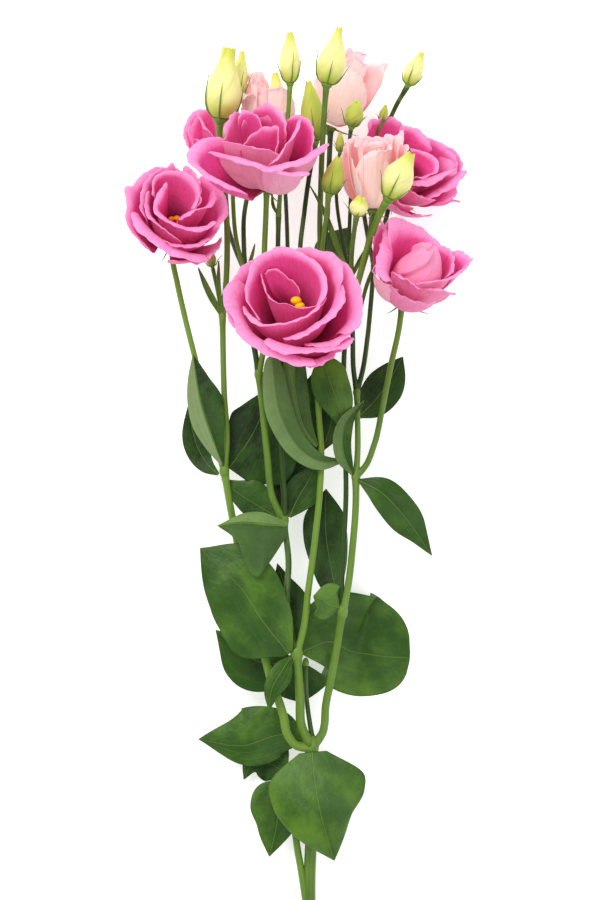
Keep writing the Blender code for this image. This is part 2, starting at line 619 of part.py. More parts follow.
def keep_outer_shell(mesh):
    """Keep the largest connected shell: hollows closed in between crossing blades are filled."""
    form = bmesh.new()
    form.from_mesh(mesh)
    shells, seen = [], set()
    for start in form.verts:
        if start in seen:
            continue
        shell, front = [], [start]
        seen.add(start)
        while front:
            vert = front.pop()
            shell.append(vert)
            for edge in vert.link_edges:
                other = edge.other_vert(vert)
                if other not in seen:
                    seen.add(other)
                    front.append(other)
        shells.append(shell)
    shells.sort(key=len)
    for shell in shells[:-1]:
        bmesh.ops.delete(form, geom=shell, context="VERTS")
    form.to_mesh(mesh)
    form.free()


def united(name, pieces, material, home):
    """One closed body made of all the pieces."""
    body, others = pieces[0], pieces[1:]
    body.name = name
    body.data.name = name
    group = new_collection(name + "_pieces")
    for piece in others:
        bpy.context.scene.collection.objects.unlink(piece)
        group.objects.link(piece)
    union = body.modifiers.new("union", "BOOLEAN")
    union.operation = "UNION"
    union.operand_type = "COLLECTION"
    union.collection = group
    union.solver = "EXACT"
    bpy.context.view_layer.update()
    graph = bpy.context.evaluated_depsgraph_get()
    mesh = bpy.data.meshes.new_from_object(body.evaluated_get(graph))
    keep_outer_shell(mesh)
    body.modifiers.clear()
    body.data = mesh
    for piece in list(group.objects):
        bpy.data.objects.remove(piece, do_unlink=True)
    bpy.data.collections.remove(group)
    return finished(body, material, home)


def finished(thing, material, home):
    """Give the object its material and move it to its home collection."""
    thing.data.materials.clear()
    thing.data.materials.append(material)
    bpy.context.scene.collection.objects.unlink(thing)
    home.objects.link(thing)
    thing.data.shade_smooth()
    return thing


def leaf_points(midrib, left, right, lift_left, lift_right, cells):
    """Points of a leaf: across its midrib by the half widths, with the edges lifted by the square.

    What would sink below the table lies flat on it.
    """
    columns = np.linspace(-1.0, 1.0, cells[0] + 1)
    places = np.linspace(0.0, 1.0, cells[1] + 1)
    centre = along(midrib, places)
    nudge = 1e-3
    heading = unit(along(midrib, places + nudge) - along(midrib, places - nudge))
    side = unit(np.cross(heading, (0.0, 0.0, 1.0)))
    normal = np.cross(side, heading)
    stations = np.linspace(0.0, 1.0, len(left))
    reach_left = np.interp(places, stations, left)
    reach_right = np.interp(places, stations, right)
    across = columns[None, :, None]
    reach = np.where(across < 0, reach_left[:, None, None], reach_right[:, None, None])
    lift = np.where(across < 0, lift_left, lift_right) * across**2 * np.sin(math.pi * places)[:, None, None]
    points = centre[:, None, :] + side[:, None, :] * across * reach + normal[:, None, :] * lift
    points[:, :, 2] = np.maximum(points[:, :, 2], LEAF_THICKNESS / 2)
    return points


def leaf(name, material, home):
    """One leaf blade."""
    cells = SMALL_LEAF_CELLS if name in SMALL_LEAVES else LEAF_CELLS
    blade = blade_object(name, leaf_points(*LEAVES[name], cells), LEAF_THICKNESS)
    return finished(blade, material, home)


def bud_frame(direction):
    """Two vectors across a direction."""
    direction = unit(direction)
    across = unit(np.cross(direction, (0.0, 0.0, 1.0)))
    return direction, across, np.cross(across, direction)


def bud_radius(share, widest, place, tip):
    """Radius of a bud at a share of its length: round at the foot and drawn out to its blunt tip."""
    foot = np.sqrt(np.clip(1.0 - ((place - share) / place) ** 2, 0.0, 1.0))
    beyond = np.clip((share - place) / (1.0 - place), 0.0, 1.0)
    blunt = tip / widest
    top = blunt + (1.0 - blunt) * np.cos(beyond * math.pi / 2) ** 1.2
    return widest * np.where(share < place, 0.25 + 0.75 * foot, top)


def bud(letter, material, home):
    """A closed bud: its profile turned about its own line by Screw."""
    seat, direction, length, widest, place, tip = BUDS[letter]
    direction = Vector(direction).normalized()
    shares = np.linspace(1.0, 0.0, BUD_RINGS)
    radii = bud_radius(shares, widest, place, tip)
    name = "bud_" + letter
    mesh = bpy.data.meshes.new(name)
    profile = [(0.0, 0.0, length * MM)]
    profile += [(radius * MM, 0.0, share * length * MM) for radius, share in zip(radii, shares)]
    profile += [(0.0, 0.0, 0.0)]
    mesh.from_pydata(profile, [(i, i + 1) for i in range(len(profile) - 1)], [])
    thing = bpy.data.objects.new(name, mesh)
    bpy.context.scene.collection.objects.link(thing)
    screw = thing.modifiers.new("turned", "SCREW")
    screw.steps = BUD_SIDES
    screw.render_steps = BUD_SIDES
    screw.use_merge_vertices = True
    screw.merge_threshold = 1e-5
    thing.rotation_mode = "QUATERNION"
    thing.rotation_quaternion = Vector((0, 0, 1)).rotation_difference(direction)
    thing.location = (Vector(seat) + direction * SEAT_GAP) * MM
    return finished(thing, material, home)


def sepal_route(letter, azimuth):
    """The line of a sepal: from the bud's seat, close round its side, and away from it at the tip."""
    seat, direction, length, widest, place, tip = BUDS[letter]
    direction, across, up = bud_frame(direction)
    outward = across * math.cos(azimuth) + up * math.sin(azimuth)
    shares = np.array([0.0, 0.12, 0.36, 0.62])
    away = bud_radius(shares, widest, place, tip) + np.array([-0.6, 2.0, 1.7, 2.8])
    along_bud = shares * length + np.array([-1.2, 0.0, 0.0, 0.0])
    return [np.array(seat) + direction * h + outward * r for h, r in zip(along_bud, away)]


def bud_calyxes():
    """The receptacles of the buds, and the sepals of those that show them."""
    pieces = []
    for letter, (seat, direction, length, widest, place, tip) in BUDS.items():
        direction = Vector(direction).normalized()
        stalk_radius, spread, cup_length = BUD_CUP
        seat_radius = max(LEAST_CUP_RADIUS, spread * widest)
        pieces.append(cup("cup_" + letter, seat, direction, stalk_radius, seat_radius, cup_length))
        if letter not in SEPAL_BUDS:
            continue
        for index in range(SEPALS):
            azimuth = math.tau * index / SEPALS + 0.35
            route = sepal_route(letter, azimuth)
            pieces.append(tube(f"sepal_{letter}_{index}", route, 0.75, 0.4, step=9.0, sides=4))
    return pieces


def bloom_frame(name):
    """The frame of a bloom: its seat and its three axes, the third along the way it opens."""
    seat, direction = BLOOMS[name][:2]
    turn = Vector((0, 0, 1)).rotation_difference(Vector(direction).normalized())
    return np.array(seat, float), np.array(turn.to_matrix())


def petal_points(petal, layer, cells):
    """Points of one petal in its bloom's frame.

    The wall runs from the foot out and up to the crest as a quarter of an ellipse. Beyond the crest the rim
    rolls over in an arc.
    """
    azimuth, half_angle, crest_radius, crest_height, roll, roll_turn = petal
    foot_height = PETAL_FOOT_HEIGHT + PETAL_FOOT_STEP * layer
    wide, tall = crest_radius - PETAL_FOOT_RADIUS, crest_height - foot_height
    wall = WALL_LENGTH * math.hypot(crest_radius, crest_height)
    wall_share = wall / (wall + roll)
    steps = np.append(np.linspace(0.0, 1.0, cells[1]) ** 0.9 * wall_share, 1.0)
    across, share = np.meshgrid(np.linspace(-1.0, 1.0, cells[0] + 1), steps)
    share = share * (1.0 - RIM_DROP * np.abs(across) ** 2.8)

    climb = np.clip(share / wall_share, 0.0, 1.0) ** 0.9
    swing = climb * math.pi / 2
    radius = PETAL_FOOT_RADIUS + wide * (WALL_ELLIPSE * np.sin(swing) + (1.0 - WALL_ELLIPSE) * climb)
    height = foot_height + tall * (1.0 - np.cos(swing))

    even = (1.0 - WALL_ELLIPSE) * wide * 2 / math.pi
    lean = math.atan2(even, tall)
    bend = math.radians(roll_turn)
    past = np.clip((share - wall_share) / (1.0 - wall_share), 0.0, 1.0)
    tilt = lean + bend * past
    radius += roll / bend * (math.cos(lean) - np.cos(tilt))
    height += roll / bend * (np.sin(tilt) - math.sin(lean))

    wall_tilt = np.arctan2(WALL_ELLIPSE * wide * np.cos(swing) + even, tall * np.sin(swing))
    slope = np.where(past > 0, tilt, wall_tilt)
    offset = PETAL_RIPPLE * np.sin(6 * across + 1.7 * layer) * share**5
    radius += offset * np.cos(slope)
    height -= offset * np.sin(slope)
    spread = FOOT_WIDTH + (1.0 - FOOT_WIDTH) * ease(share / 0.5)
    angle = math.radians(azimuth) + math.radians(half_angle) * across * spread
    return np.stack([radius * np.cos(angle), radius * np.sin(angle), height], axis=-1)


def bloom(name, materials, home):
    """A bloom: its petals on a small core."""
    colour, petals = BLOOMS[name][2:]
    seat, axes = bloom_frame(name)
    direction = axes[:, 2]
    core_radius, core_flatness = CORE
    centre = seat + direction * (SEAT_GAP + core_radius * core_flatness)
    pieces = [ball(name, centre, core_radius, core_flatness, direction, segments=7)]
    for layer, petal in enumerate(reversed(petals)):
        cells = INNER_CELLS if petal[2] < INNER_RADIUS else OUTER_CELLS
        points = seat + direction * SEAT_GAP + petal_points(petal, layer, cells) @ axes.T
        pieces.append(applied(blade_object("petal", points, PETAL_THICKNESS)))
    return united(name, pieces, materials[colour], home)


def heart(name, materials, home):
    """The threads at the heart of a bloom: they leave one small foot on its core and end in round tips."""
    bloom_name, colour, thread_radius, tips = HEARTS[name]
    seat, axes = bloom_frame(bloom_name)
    core_top = 2 * CORE[0] * CORE[1] + 2 * SEAT_GAP
    foot = np.array((0.0, 0.0, core_top + HEART_FOOT))
    pieces = [ball(name, seat + foot @ axes.T, HEART_FOOT, 1.0, axes[:, 2])]
    for tip, tip_radius in tips:
        middle = (foot + np.array(tip)) / 2 + np.array((0.25 * tip[0], 0.25 * tip[1], 0.0))
        route = seat + np.array([foot, middle, tip]) @ axes.T
        pieces.append(tube("thread", route, thread_radius, thread_radius, step=20.0, sides=4))
        pieces.append(ball("tip", route[-1], tip_radius, 1.3, axes[:, 1], segments=6, rings=4))
    return united(name, pieces, materials[colour], home)


def bloom_calyxes():
    """The receptacles under the blooms."""
    pieces = []
    for name, (seat, direction, colour, petals) in BLOOMS.items():
        direction = Vector(direction).normalized()
        pieces.append(cup("cup_" + name, seat, direction, *BLOOM_CUP))
    return pieces


def stem_tree(material, home):
    """All that is green and grew as one: stems, swollen nodes, calyxes, sepals and narrow bracts."""
    seats = {flower[0]: flower[1] for flower in [*BUDS.values(), *BLOOMS.values()]}
    pieces = []
    for name, (route, start_radius, end_radius) in STEMS.items():
        sides = 4 if start_radius < THIN_STEM else 6
        if route[-1] in seats:
            sunk = np.array(route[-1]) - unit(seats[route[-1]]) * STALK_SINK
            route = [*route[:-1], tuple(sunk)]
        pieces.append(tube(name, route, start_radius, end_radius, sides=sides))
    pieces += [ball("joint_" + name, centre, radius) for name, (centre, radius) in JOINTS.items()]
    pieces += bud_calyxes()
    pieces += bloom_calyxes()
    for midrib, width in BRACTS:
        widths = (width * 0.7, width, width, 0.5)
        points = leaf_points(midrib, widths, widths, 0.0, 0.0, BRACT_CELLS)
        pieces.append(applied(blade_object("bract", points, LEAF_THICKNESS)))
    return united("stems", pieces, material, home)


def stand_on_ground(home):
    """Move every object together, so that the origin is the bottom centre of the whole."""
    bpy.context.view_layer.update()
    graph = bpy.context.evaluated_depsgraph_get()
    lows, highs = [], []
    for thing in home.objects:
        seen = thing.evaluated_get(graph)
        places = [thing.matrix_world @ vert.co for vert in seen.to_mesh().vertices]
        seen.to_mesh_clear()
        lows.append(np.min(places, axis=0))
        highs.append(np.max(places, axis=0))
    low, high = np.min(lows, axis=0), np.max(highs, axis=0)
    middle = Vector(((low[0] + high[0]) / 2, (low[1] + high[1]) / 2, low[2]))
    for thing in home.objects:
        thing.location -= middle


def main():
    """Build the spray."""
    clear_scene()
    home = new_collection("lisianthus")
    leaf_green = plant_material("leaf_green", (0.075, 0.19, 0.04), 0.5)
    stem_green = plant_material("stem_green", (0.13, 0.26, 0.05), 0.45)
    bud_cream = plant_material("bud_cream", (0.86, 0.87, 0.32), 0.5)
    bud_green = plant_material("bud_green", (0.42, 0.47, 0.09), 0.5)
    petals = {
        "deep": plant_material("petal_deep", (0.78, 0.10, 0.34), 0.5),
        "pale": plant_material("petal_pale", (0.90, 0.55, 0.55), 0.5),
    }
    hearts = {
        "yellow": plant_material("stigma_yellow", (0.90, 0.62, 0.02), 0.5),
        "orange": plant_material("anther_orange", (0.85, 0.38, 0.01), 0.5),
    }
    stem_tree(stem_green, home)
    for name in LEAVES:
        leaf(name, leaf_green, home)
    for name in BLOOMS:
        bloom(name, petals, home)
    for name in HEARTS:
        heart(name, hearts, home)
    for letter in BUDS:
        bud(letter, bud_green if letter in YOUNG_BUDS else bud_cream, home)
    stand_on_ground(home)


main()
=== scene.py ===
import math

import bpy
import numpy as np
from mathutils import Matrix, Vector


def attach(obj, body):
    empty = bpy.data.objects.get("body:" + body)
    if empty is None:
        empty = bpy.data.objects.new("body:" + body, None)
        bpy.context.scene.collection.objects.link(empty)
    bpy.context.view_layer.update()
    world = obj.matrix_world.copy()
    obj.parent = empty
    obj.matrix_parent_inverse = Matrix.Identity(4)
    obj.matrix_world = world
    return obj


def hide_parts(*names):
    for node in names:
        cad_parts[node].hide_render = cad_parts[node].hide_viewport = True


# A cut spray of double lisianthus lies on a pale table and is seen from straight above. Places and sizes are
# in millimetres in the spray's working frame: x to the right, y from the cut end towards the blooms, z up.

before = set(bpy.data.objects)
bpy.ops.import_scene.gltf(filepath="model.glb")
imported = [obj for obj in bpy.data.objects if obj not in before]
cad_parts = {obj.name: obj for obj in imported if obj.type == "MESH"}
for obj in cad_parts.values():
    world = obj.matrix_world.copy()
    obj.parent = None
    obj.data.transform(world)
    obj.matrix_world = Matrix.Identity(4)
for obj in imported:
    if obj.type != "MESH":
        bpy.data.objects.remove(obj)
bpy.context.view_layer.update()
mm = 0.001
floorGap = 0.02  # millimetres that every skin keeps above the table
print("frame loaded")


# sums on whole arrays

def unit(vectors):
    # vector / its length
    vectors = np.asarray(vectors, float)
    return vectors / np.linalg.norm(vectors, axis=-1, keepdims=True)


def ease(value, start=0.0, end=1.0):
    # x = (value - start) / (end - start) kept within 0 to 1, then x * x * (3 - 2 * x)
    share = np.clip((value - start) / (end - start), 0.0, 1.0)
    return share * share * (3.0 - 2.0 * share)


def curveThrough(points, places):
    # cubic arcs between neighbouring points, whose slope at a point is that of its neighbours' chord;
    # places run from 0 to 1 by length
    points = np.array(points, float)
    chord = np.linalg.norm(np.diff(points, axis=0), axis=1)
    knots = np.concatenate([[0.0], np.cumsum(chord)])
    slopes = np.gradient(points, knots, axis=0)
    at = np.clip(np.asarray(places, float), 0.0, 1.0) * knots[-1]
    index = np.clip(np.searchsorted(knots, at, side="right") - 1, 0, len(chord) - 1)
    span = chord[index][:, None]
    t = ((at - knots[index]) / chord[index])[:, None]
    return (
        (2 * t**3 - 3 * t**2 + 1) * points[index]
        + (t**3 - 2 * t**2 + t) * span * slopes[index]
        + (3 * t**2 - 2 * t**3) * points[index + 1]
        + (t**3 - t**2) * span * slopes[index + 1]
    )


def smoothWidths(values, places, stretch=1000.0, least=0.05):
    # the same arcs through values at even steps, which stand so far apart that the arcs keep to the steps
    stations = np.linspace(0.0, 1.0, len(values)) * stretch
    line = curveThrough(np.column_stack([stations, values]), places)
    return np.maximum(np.interp(places, line[:, 0] / stretch, line[:, 1]), least)


waveForm = {"rates": (1.0, 1.9, 3.1), "phase": 1.3, "sum": 1.83}


def waves(value, phase):
    # sin(rate * value + phase * (1.3 + index)) / (1 + index), added up over three unlike rates and divided by
    # the most that they can give: a wave between -1 and 1 that doesn't repeat
    total = sum(
        np.sin(rate * value + phase * (waveForm["phase"] + index)) / (1 + index)
        for index, rate in enumerate(waveForm["rates"])
    )
    return total / waveForm["sum"]


# shells and pieces

def bladeShell(points, thickness):
    # front = points + normal * thickness / 2, back = points - normal * thickness / 2, joined round the rim
    rows, columns = points.shape[:2]
    normal = unit(np.cross(np.gradient(points, axis=1), np.gradient(points, axis=0)))
    half = normal * (np.broadcast_to(thickness, (rows, columns)) / 2)[..., None]
    count = rows * columns
    index = np.arange(count).reshape(rows, columns)
    quads = np.stack([index[:-1, :-1], index[:-1, 1:], index[1:, 1:], index[1:, :-1]], axis=-1).reshape(-1, 4)
    rim = np.concatenate([index[0, :-1], index[:-1, -1], index[-1, :0:-1], index[:0:-1, 0]])
    onward = np.roll(rim, -1)
    edge = np.stack([onward, rim, rim + count, onward + count], axis=-1)
    places = np.concatenate([(points + half).reshape(-1, 3), (points - half).reshape(-1, 3)])
    places[:, 2] = np.maximum(places[:, 2], floorGap)
    return {"places": places, "faces": np.concatenate([quads, quads[:, ::-1] + count, edge]).tolist()}


def sheetFacts(across, share, tone, reach=1.0):
    # what the finishes read: across -1 to 1, share 0 to 1 along, side 0 in front and 1 behind
    across, share = np.ravel(across), np.ravel(share)
    reach = np.broadcast_to(reach, across.shape)
    facts = {"across": across, "share": share, "reach": reach, "tone": np.broadcast_to(tone, across.shape)}
    facts = {name: np.concatenate([values, values]) for name, values in facts.items()}
    facts["side"] = np.concatenate([np.zeros(across.shape), np.ones(across.shape)])
    return facts


def ringShell(rings):
    # rings of points joined into a skin, with a flat cap on the first ring and on the last
    steps, sides = rings.shape[:2]
    index = np.arange(steps * sides).reshape(steps, sides)
    after = np.roll(index, -1, axis=1)
    quads = np.stack([index[:-1], after[:-1], after[1:], index[1:]], axis=-1).reshape(-1, 4)
    faces = quads.tolist() + [index[0][::-1].tolist(), index[-1].tolist()]
    places = rings.reshape(-1, 3).copy()
    places[:, 2] = np.maximum(places[:, 2], floorGap)
    return {"places": places, "faces": faces}


def tubeRings(line, radii, sides, ridge=0.0):
    # centre + radius * (1 + ridge * cos 4 angle) * (side * cos angle + up * sin angle)
    tangent = unit(np.gradient(line, axis=0))
    lean = np.abs(tangent.mean(axis=0))
    reference = np.eye(3)[int(np.argmin(lean))]
    side = unit(np.cross(reference, tangent))
    up = np.cross(tangent, side)
    angle = np.linspace(0.0, math.tau, sides, endpoint=False)
    reach = np.asarray(radii)[:, None] * (1.0 + ridge * np.cos(4.0 * angle))[None, :]
    ring = side[:, None, :] * np.cos(angle)[None, :, None] + up[:, None, :] * np.sin(angle)[None, :, None]
    return line[:, None, :] + ring * reach[..., None]


def joined(shells):
    # one list of points and faces out of many, with each shell's facts beside its points
    places, faces, facts, start = [], [], {}, 0
    names = sorted({name for shell in shells for name in shell.get("facts", {})})
    for shell in shells:
        places.append(shell["places"])
        faces += [[corner + start for corner in face] for face in shell["faces"]]
        for name in names:
            given = shell.get("facts", {}).get(name, 0.0)
            facts.setdefault(name, []).append(np.broadcast_to(given, (len(shell["places"]),)))
        start += len(shell["places"])
    return np.concatenate(places), faces, {name: np.concatenate(rows) for name, rows in facts.items()}


def newPiece(name, shells, finish, slot, nodes):
    # a mesh in metres in the part's own frame, its object at the origin
    places, faces, facts = joined(shells)
    mesh = bpy.data.meshes.new(name)
    mesh.from_pydata(places * mm + workOrigin, [], faces)
    for factName, values in facts.items():
        mesh.attributes.new(factName, "FLOAT", "POINT").data.foreach_set("value", values.astype(np.float32))
    mesh.materials.append(finish)
    mesh.shade_smooth()
    piece = bpy.data.objects.new(name, mesh)
    bpy.context.scene.collection.objects.link(piece)
    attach(piece, "root")
    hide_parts(*nodes)
    return piece


# finishes

def paint(red, green, blue):
    # screen colour 0 to 255 to the light that a shader takes
    share = np.array([red, green, blue]) / 255.0
    light = np.where(share <= 0.04045, share / 12.92, ((share + 0.055) / 1.055) ** 2.4)
    return (*light.tolist(), 1.0)


class Wire:
    # an output socket of a finish: + - * and abs add a Math node each

    def __init__(self, finish, socket):
        self.finish = finish
        self.socket = socket

    def __add__(self, other):
        return self.finish.maths("ADD", self, other)

    __radd__ = __add__

    def __mul__(self, other):
        return self.finish.maths("MULTIPLY", self, other)

    __rmul__ = __mul__

    def __sub__(self, other):
        return self.finish.maths("SUBTRACT", self, other)

    def __rsub__(self, other):
        return self.finish.maths("SUBTRACT", other, self)

    def __abs__(self):
        return self.finish.maths("ABSOLUTE", self)


class Finish:
    # one material and the ways to add to it

    def __init__(self, name, roughness, sheen=0.0, subsurface=0.0, glow=0.0):
        self.material = bpy.data.materials.new(name)
        self.material.use_nodes = True
        self.tree = self.material.node_tree
        self.shader = self.tree.nodes["Principled BSDF"]
        self.shader.inputs["Roughness"].default_value = roughness
        self.shader.inputs["Sheen Weight"].default_value = sheen
        self.shader.inputs["Specular IOR Level"].default_value = 0.35
        self.shader.inputs["Subsurface Weight"].default_value = subsurface
        self.shader.inputs["Emission Strength"].default_value = glow

    def node(self, kind, settings=None, sockets=None, output=0):
        # a node of a kind, with its settings first and then the values or links of its sockets
        made = self.tree.nodes.new(kind)
        for name, value in (settings or {}).items():
            setattr(made, name, value)
        for name, value in (sockets or {}).items():
            if isinstance(value, Wire):
                self.tree.links.new(value.socket, made.inputs[name])
            else:
                made.inputs[name].default_value = value
        return Wire(self, made.outputs[output])

    def maths(self, operation, *values):
        return self.node("ShaderNodeMath", {"operation": operation}, dict(enumerate(values)))

    def fact(self, name):
        return self.node("ShaderNodeAttribute", {"attribute_name": name}, output="Fac")

    def step(self, value, start, end):
        # 0 before start, 1 after end, and smooth between
        settings = {"interpolation_type": "SMOOTHSTEP", "clamp": True}
        return self.node("ShaderNodeMapRange", settings, {"Value": value, "From Min": start, "From Max": end})

    def mixed(self, share, first, second):
        # first * (1 - share) + second * share, for colours
        settings = {"data_type": "RGBA", "clamp_factor": True}
        return self.node("ShaderNodeMix", settings, {0: share, 6: first, 7: second}, output=2)

    def place(self, x, y, z):
        return self.node("ShaderNodeCombineXYZ", None, {"X": x, "Y": y, "Z": z})

    def noise(self, vector, scale, detail=2.0, roughness=0.5):
        sockets = {"Vector": vector, "Scale": scale, "Detail": detail, "Roughness": roughness}
        return self.node("ShaderNodeTexNoise", None, sockets)

    def objectPlace(self):
        return self.node("ShaderNodeTexCoord", output="Object")

    def finished(self, colour, height=None, depth=0.2, roughness=None):
        # the colour, a bump by the height, and a roughness that varies, where they are given
        self.tree.links.new(colour.socket, self.shader.inputs["Base Color"])
        if height is not None:
            sockets = {"Height": height, "Strength": depth, "Distance": 0.001}
            bump = self.node("ShaderNodeBump", None, sockets)
            self.tree.links.new(bump.socket, self.shader.inputs["Normal"])
        if roughness is not None:
            self.tree.links.new(roughness.socket, self.shader.inputs["Roughness"])
        return self.material


petalDeepLook = {
    # the foot is partly the petals' own deeper heart and partly painted shade: it is as dark as the depth of
    # the cup looks in its shade
    "foot": paint(132, 0, 52),
    "middle": paint(240, 80, 158),
    "rim": paint(253, 153, 208),
    "backFoot": paint(220, 80, 142),
    "back": paint(232, 96, 160),
    "backRim": paint(248, 124, 186),
    "palest": paint(250, 182, 206),
    "veins": paint(186, 16, 100),
    # glow: the petals give out a little light of their own colour, painted light that lifts the shaded inner
    # walls as light passing through the petals would
    "glow": 0.07,
}

petalPaleLook = {
    "foot": paint(246, 150, 140),
    "middle": paint(252, 186, 184),
    "rim": paint(255, 214, 218),
    "backFoot": paint(250, 226, 200),
    "back": paint(255, 206, 206),
    "backRim": paint(255, 196, 206),
    "palest": paint(255, 226, 222),
    "veins": paint(250, 180, 188),
    # glow: painted light of the petals' own colour, as for the deep petals
    "glow": 0.1,
}

petalPattern = {
    "waverScale": 90.0, "waver": 0.10, "veinsAcross": 44, "veinsAlong": 5, "veinStrength": 0.5,
    "cloudScale": 55.0, "cloudShift": 0.22, "creaseScale": 420.0, "creaseLight": 0.16, "relief": 0.5,
}


def petalFinish(name, look):
    # front: foot to middle to rim along share + (clouds - 0.5) * shift; back: its own three, drawn to the
    # palest as far as the petal's back lies open, painted light, while backs in the shade between the rings
    # keep their deeper colour, painted shade; both with veins, noise on (across + waver, share), and with
    # lighter creases; the colour glows a little too, painted light
    form = petalPattern
    finish = Finish(name, 0.6, sheen=0.06, subsurface=0.2, glow=look["glow"])
    finish.shader.inputs["Subsurface Radius"].default_value = (1.0, 0.5, 0.7)
    finish.shader.inputs["Subsurface Scale"].default_value = 0.003
    finish.shader.inputs["Specular IOR Level"].default_value = 0.22
    across, share, tone = finish.fact("across"), finish.fact("share"), finish.fact("tone")
    place = finish.objectPlace()
    waver = finish.noise(place, form["waverScale"], 2.0) * form["waver"]
    along = finish.place((across + waver) * form["veinsAcross"], share * form["veinsAlong"], tone * 9)
    lines = finish.noise(along, 1.0, 3.0, 0.6)
    clouds = finish.noise(place, form["cloudScale"], 3.0, 0.6)
    creases = finish.noise(place, form["creaseScale"], 4.0, 0.65)
    spread = share + (clouds - 0.5) * form["cloudShift"]
    front = finish.mixed(finish.step(spread, 0.2, 0.64), look["foot"], look["middle"])
    front = finish.mixed(finish.step(spread, 0.74, 0.97), front, look["rim"])
    back = finish.mixed(finish.step(spread, 0.25, 0.78), look["backFoot"], look["back"])
    back = finish.mixed(finish.step(spread, 0.74, 0.94), back, look["backRim"])
    # painted light and shade: each petal's back is drawn to the palest as far as it lies open to the light,
    # and the backs that lie in the shade between the rings keep their deeper colour
    back = finish.mixed(finish.fact("bare"), back, look["palest"])
    colour = finish.mixed(finish.fact("side"), front, back)
    veins = finish.step(lines, 0.46, 0.74)
    colour = finish.mixed(veins * (form["veinStrength"] - share * 0.22), colour, look["veins"])
    light = finish.step(creases + tone * 0.3, 0.5, 0.95)
    colour = finish.mixed(light * share * form["creaseLight"], colour, look["palest"])
    # the colour glows as well: painted light that stands in for light passing through the petals
    finish.tree.links.new(colour.socket, finish.shader.inputs["Emission Color"])
    height = lines * 0.55 + creases * 0.7 + clouds * 0.8
    return finish.finished(colour, height, form["relief"])


leafLook = {
    "light": paint(88, 128, 34),
    "middle": paint(42, 80, 13),
    "dark": paint(11, 34, 1),
    "film": paint(98, 132, 76),
    "sage": paint(138, 162, 112),
    "under": paint(112, 140, 92),
    "veins": paint(136, 166, 72),
    "midribWidth": 0.55,
    "nerveWidth": 0.3,
    "nerves": (0.34, 0.66),
    "patchScale": 48.0,
    "filmScale": 22.0,
    "fineScale": 420.0,
    "drift": 0.06,
    "relief": 0.6,
}


def leafFinish():
    # dark to middle to light by level = tone + patches + streaks + more on the right half and at the rim;
    # the tone is partly the leaf's own green and partly painted shade, lowest on the leaves that lie in the
    # shade of others, and the lighter right half is painted light; over it a film by noise, sage by fact
    # film, a midrib that drifts, two nerves at fixed shares of each half, a faint net between them, and the
    # underside's own colour
    look = leafLook
    finish = Finish("leafFace", 0.46)
    finish.shader.inputs["Specular IOR Level"].default_value = 0.25
    across, share, reach = finish.fact("across"), finish.fact("share"), finish.fact("reach")
    tone, place = finish.fact("tone"), finish.objectPlace()
    patches = finish.noise(place, look["patchScale"], 5.0, 0.65)
    fine = finish.noise(place, look["fineScale"], 3.0)
    streaks = finish.noise(finish.place(across * reach * 0.12, share * 4, tone * 5), 1.0, 3.0)
    level = tone + (patches - 0.5) + (streaks - 0.5) * 0.6
    # painted light: every leaf's right half is drawn lighter, as the halves of a folded blade take the light
    # unequally
    level = level + finish.step(across, -0.2, 0.2) * 0.16 + abs(across) * 0.12
    colour = finish.mixed(finish.step(level, 0.0, 0.55), look["dark"], look["middle"])
    colour = finish.mixed(finish.step(level, 0.5, 1.15), colour, look["light"])
    film = finish.noise(place, look["filmScale"], 2.0)
    colour = finish.mixed(finish.step(film, 0.45, 0.85) * 0.3, colour, look["film"])
    colour = finish.mixed(finish.fact("film"), colour, look["sage"])
    drift = finish.noise(finish.place(share * 5, tone * 7, 0.0), 1.0, 2.0) * look["drift"] - look["drift"] / 2
    distance = abs(across + drift)
    veins = 1 - finish.step(distance * reach, 0.15, look["midribWidth"])
    for nerve in look["nerves"]:
        line = 1 - finish.step(abs(distance - nerve) * reach, 0.05, look["nerveWidth"])
        veins = finish.maths("MAXIMUM", veins, line * 0.3)
    cells = {"Vector": finish.place(distance * reach * 0.16, share * 11, tone * 3), "Scale": 1.0}
    cells["Randomness"] = 0.9
    branches = finish.node("ShaderNodeTexVoronoi", {"feature": "DISTANCE_TO_EDGE"}, cells)
    net = (1 - finish.step(branches, 0.0, 0.07)) * 0.05
    shown = finish.maths("MAXIMUM", veins * (1 - share * 0.5), net)
    colour = finish.mixed(shown * 0.42, colour, look["veins"])
    colour = finish.mixed(finish.fact("side") * 0.65, colour, look["under"])
    height = fine * 0.3 - shown * 1.2 + patches * 2.4 + streaks * 0.8
    return finish.finished(colour, height, look["relief"], 0.3 + film * 0.25)


stemLook = {
    "green": paint(110, 146, 46),
    # deep: the darkest stem green, painted shade on the stems that lie in shade, and a part of the other
    # stems' mottling
    "deep": paint(40, 68, 12),
    "film": paint(116, 150, 74),
    "stretch": (300.0, 25.0, 300.0),
}


def stemFinish():
    # deep to green by tone and patches of noise, with a grey film in streaks drawn out along y; the low tone
    # of the stems that lie in shade is painted shade
    look = stemLook
    finish = Finish("stemSkin", 0.42)
    place = finish.objectPlace()
    stretched = finish.node("ShaderNodeMapping", None, {"Vector": place, "Scale": look["stretch"]})
    streaks = finish.noise(stretched, 1.0, 3.0)
    patches = finish.noise(place, 30.0, 2.0)
    light = finish.step(patches * 0.5 + finish.fact("tone"), 0.3, 1.2)
    colour = finish.mixed(light, look["deep"], look["green"])
    colour = finish.mixed(finish.step(streaks, 0.45, 0.8) * 0.45, colour, look["film"])
    return finish.finished(colour, streaks, 0.2)


budLook = {
    "cream": {"foot": paint(176, 194, 56), "body": paint(246, 240, 158), "tip": paint(214, 218, 84)},
    "green": {"foot": paint(116, 142, 40), "body": paint(186, 194, 76), "tip": paint(206, 210, 84)},
}


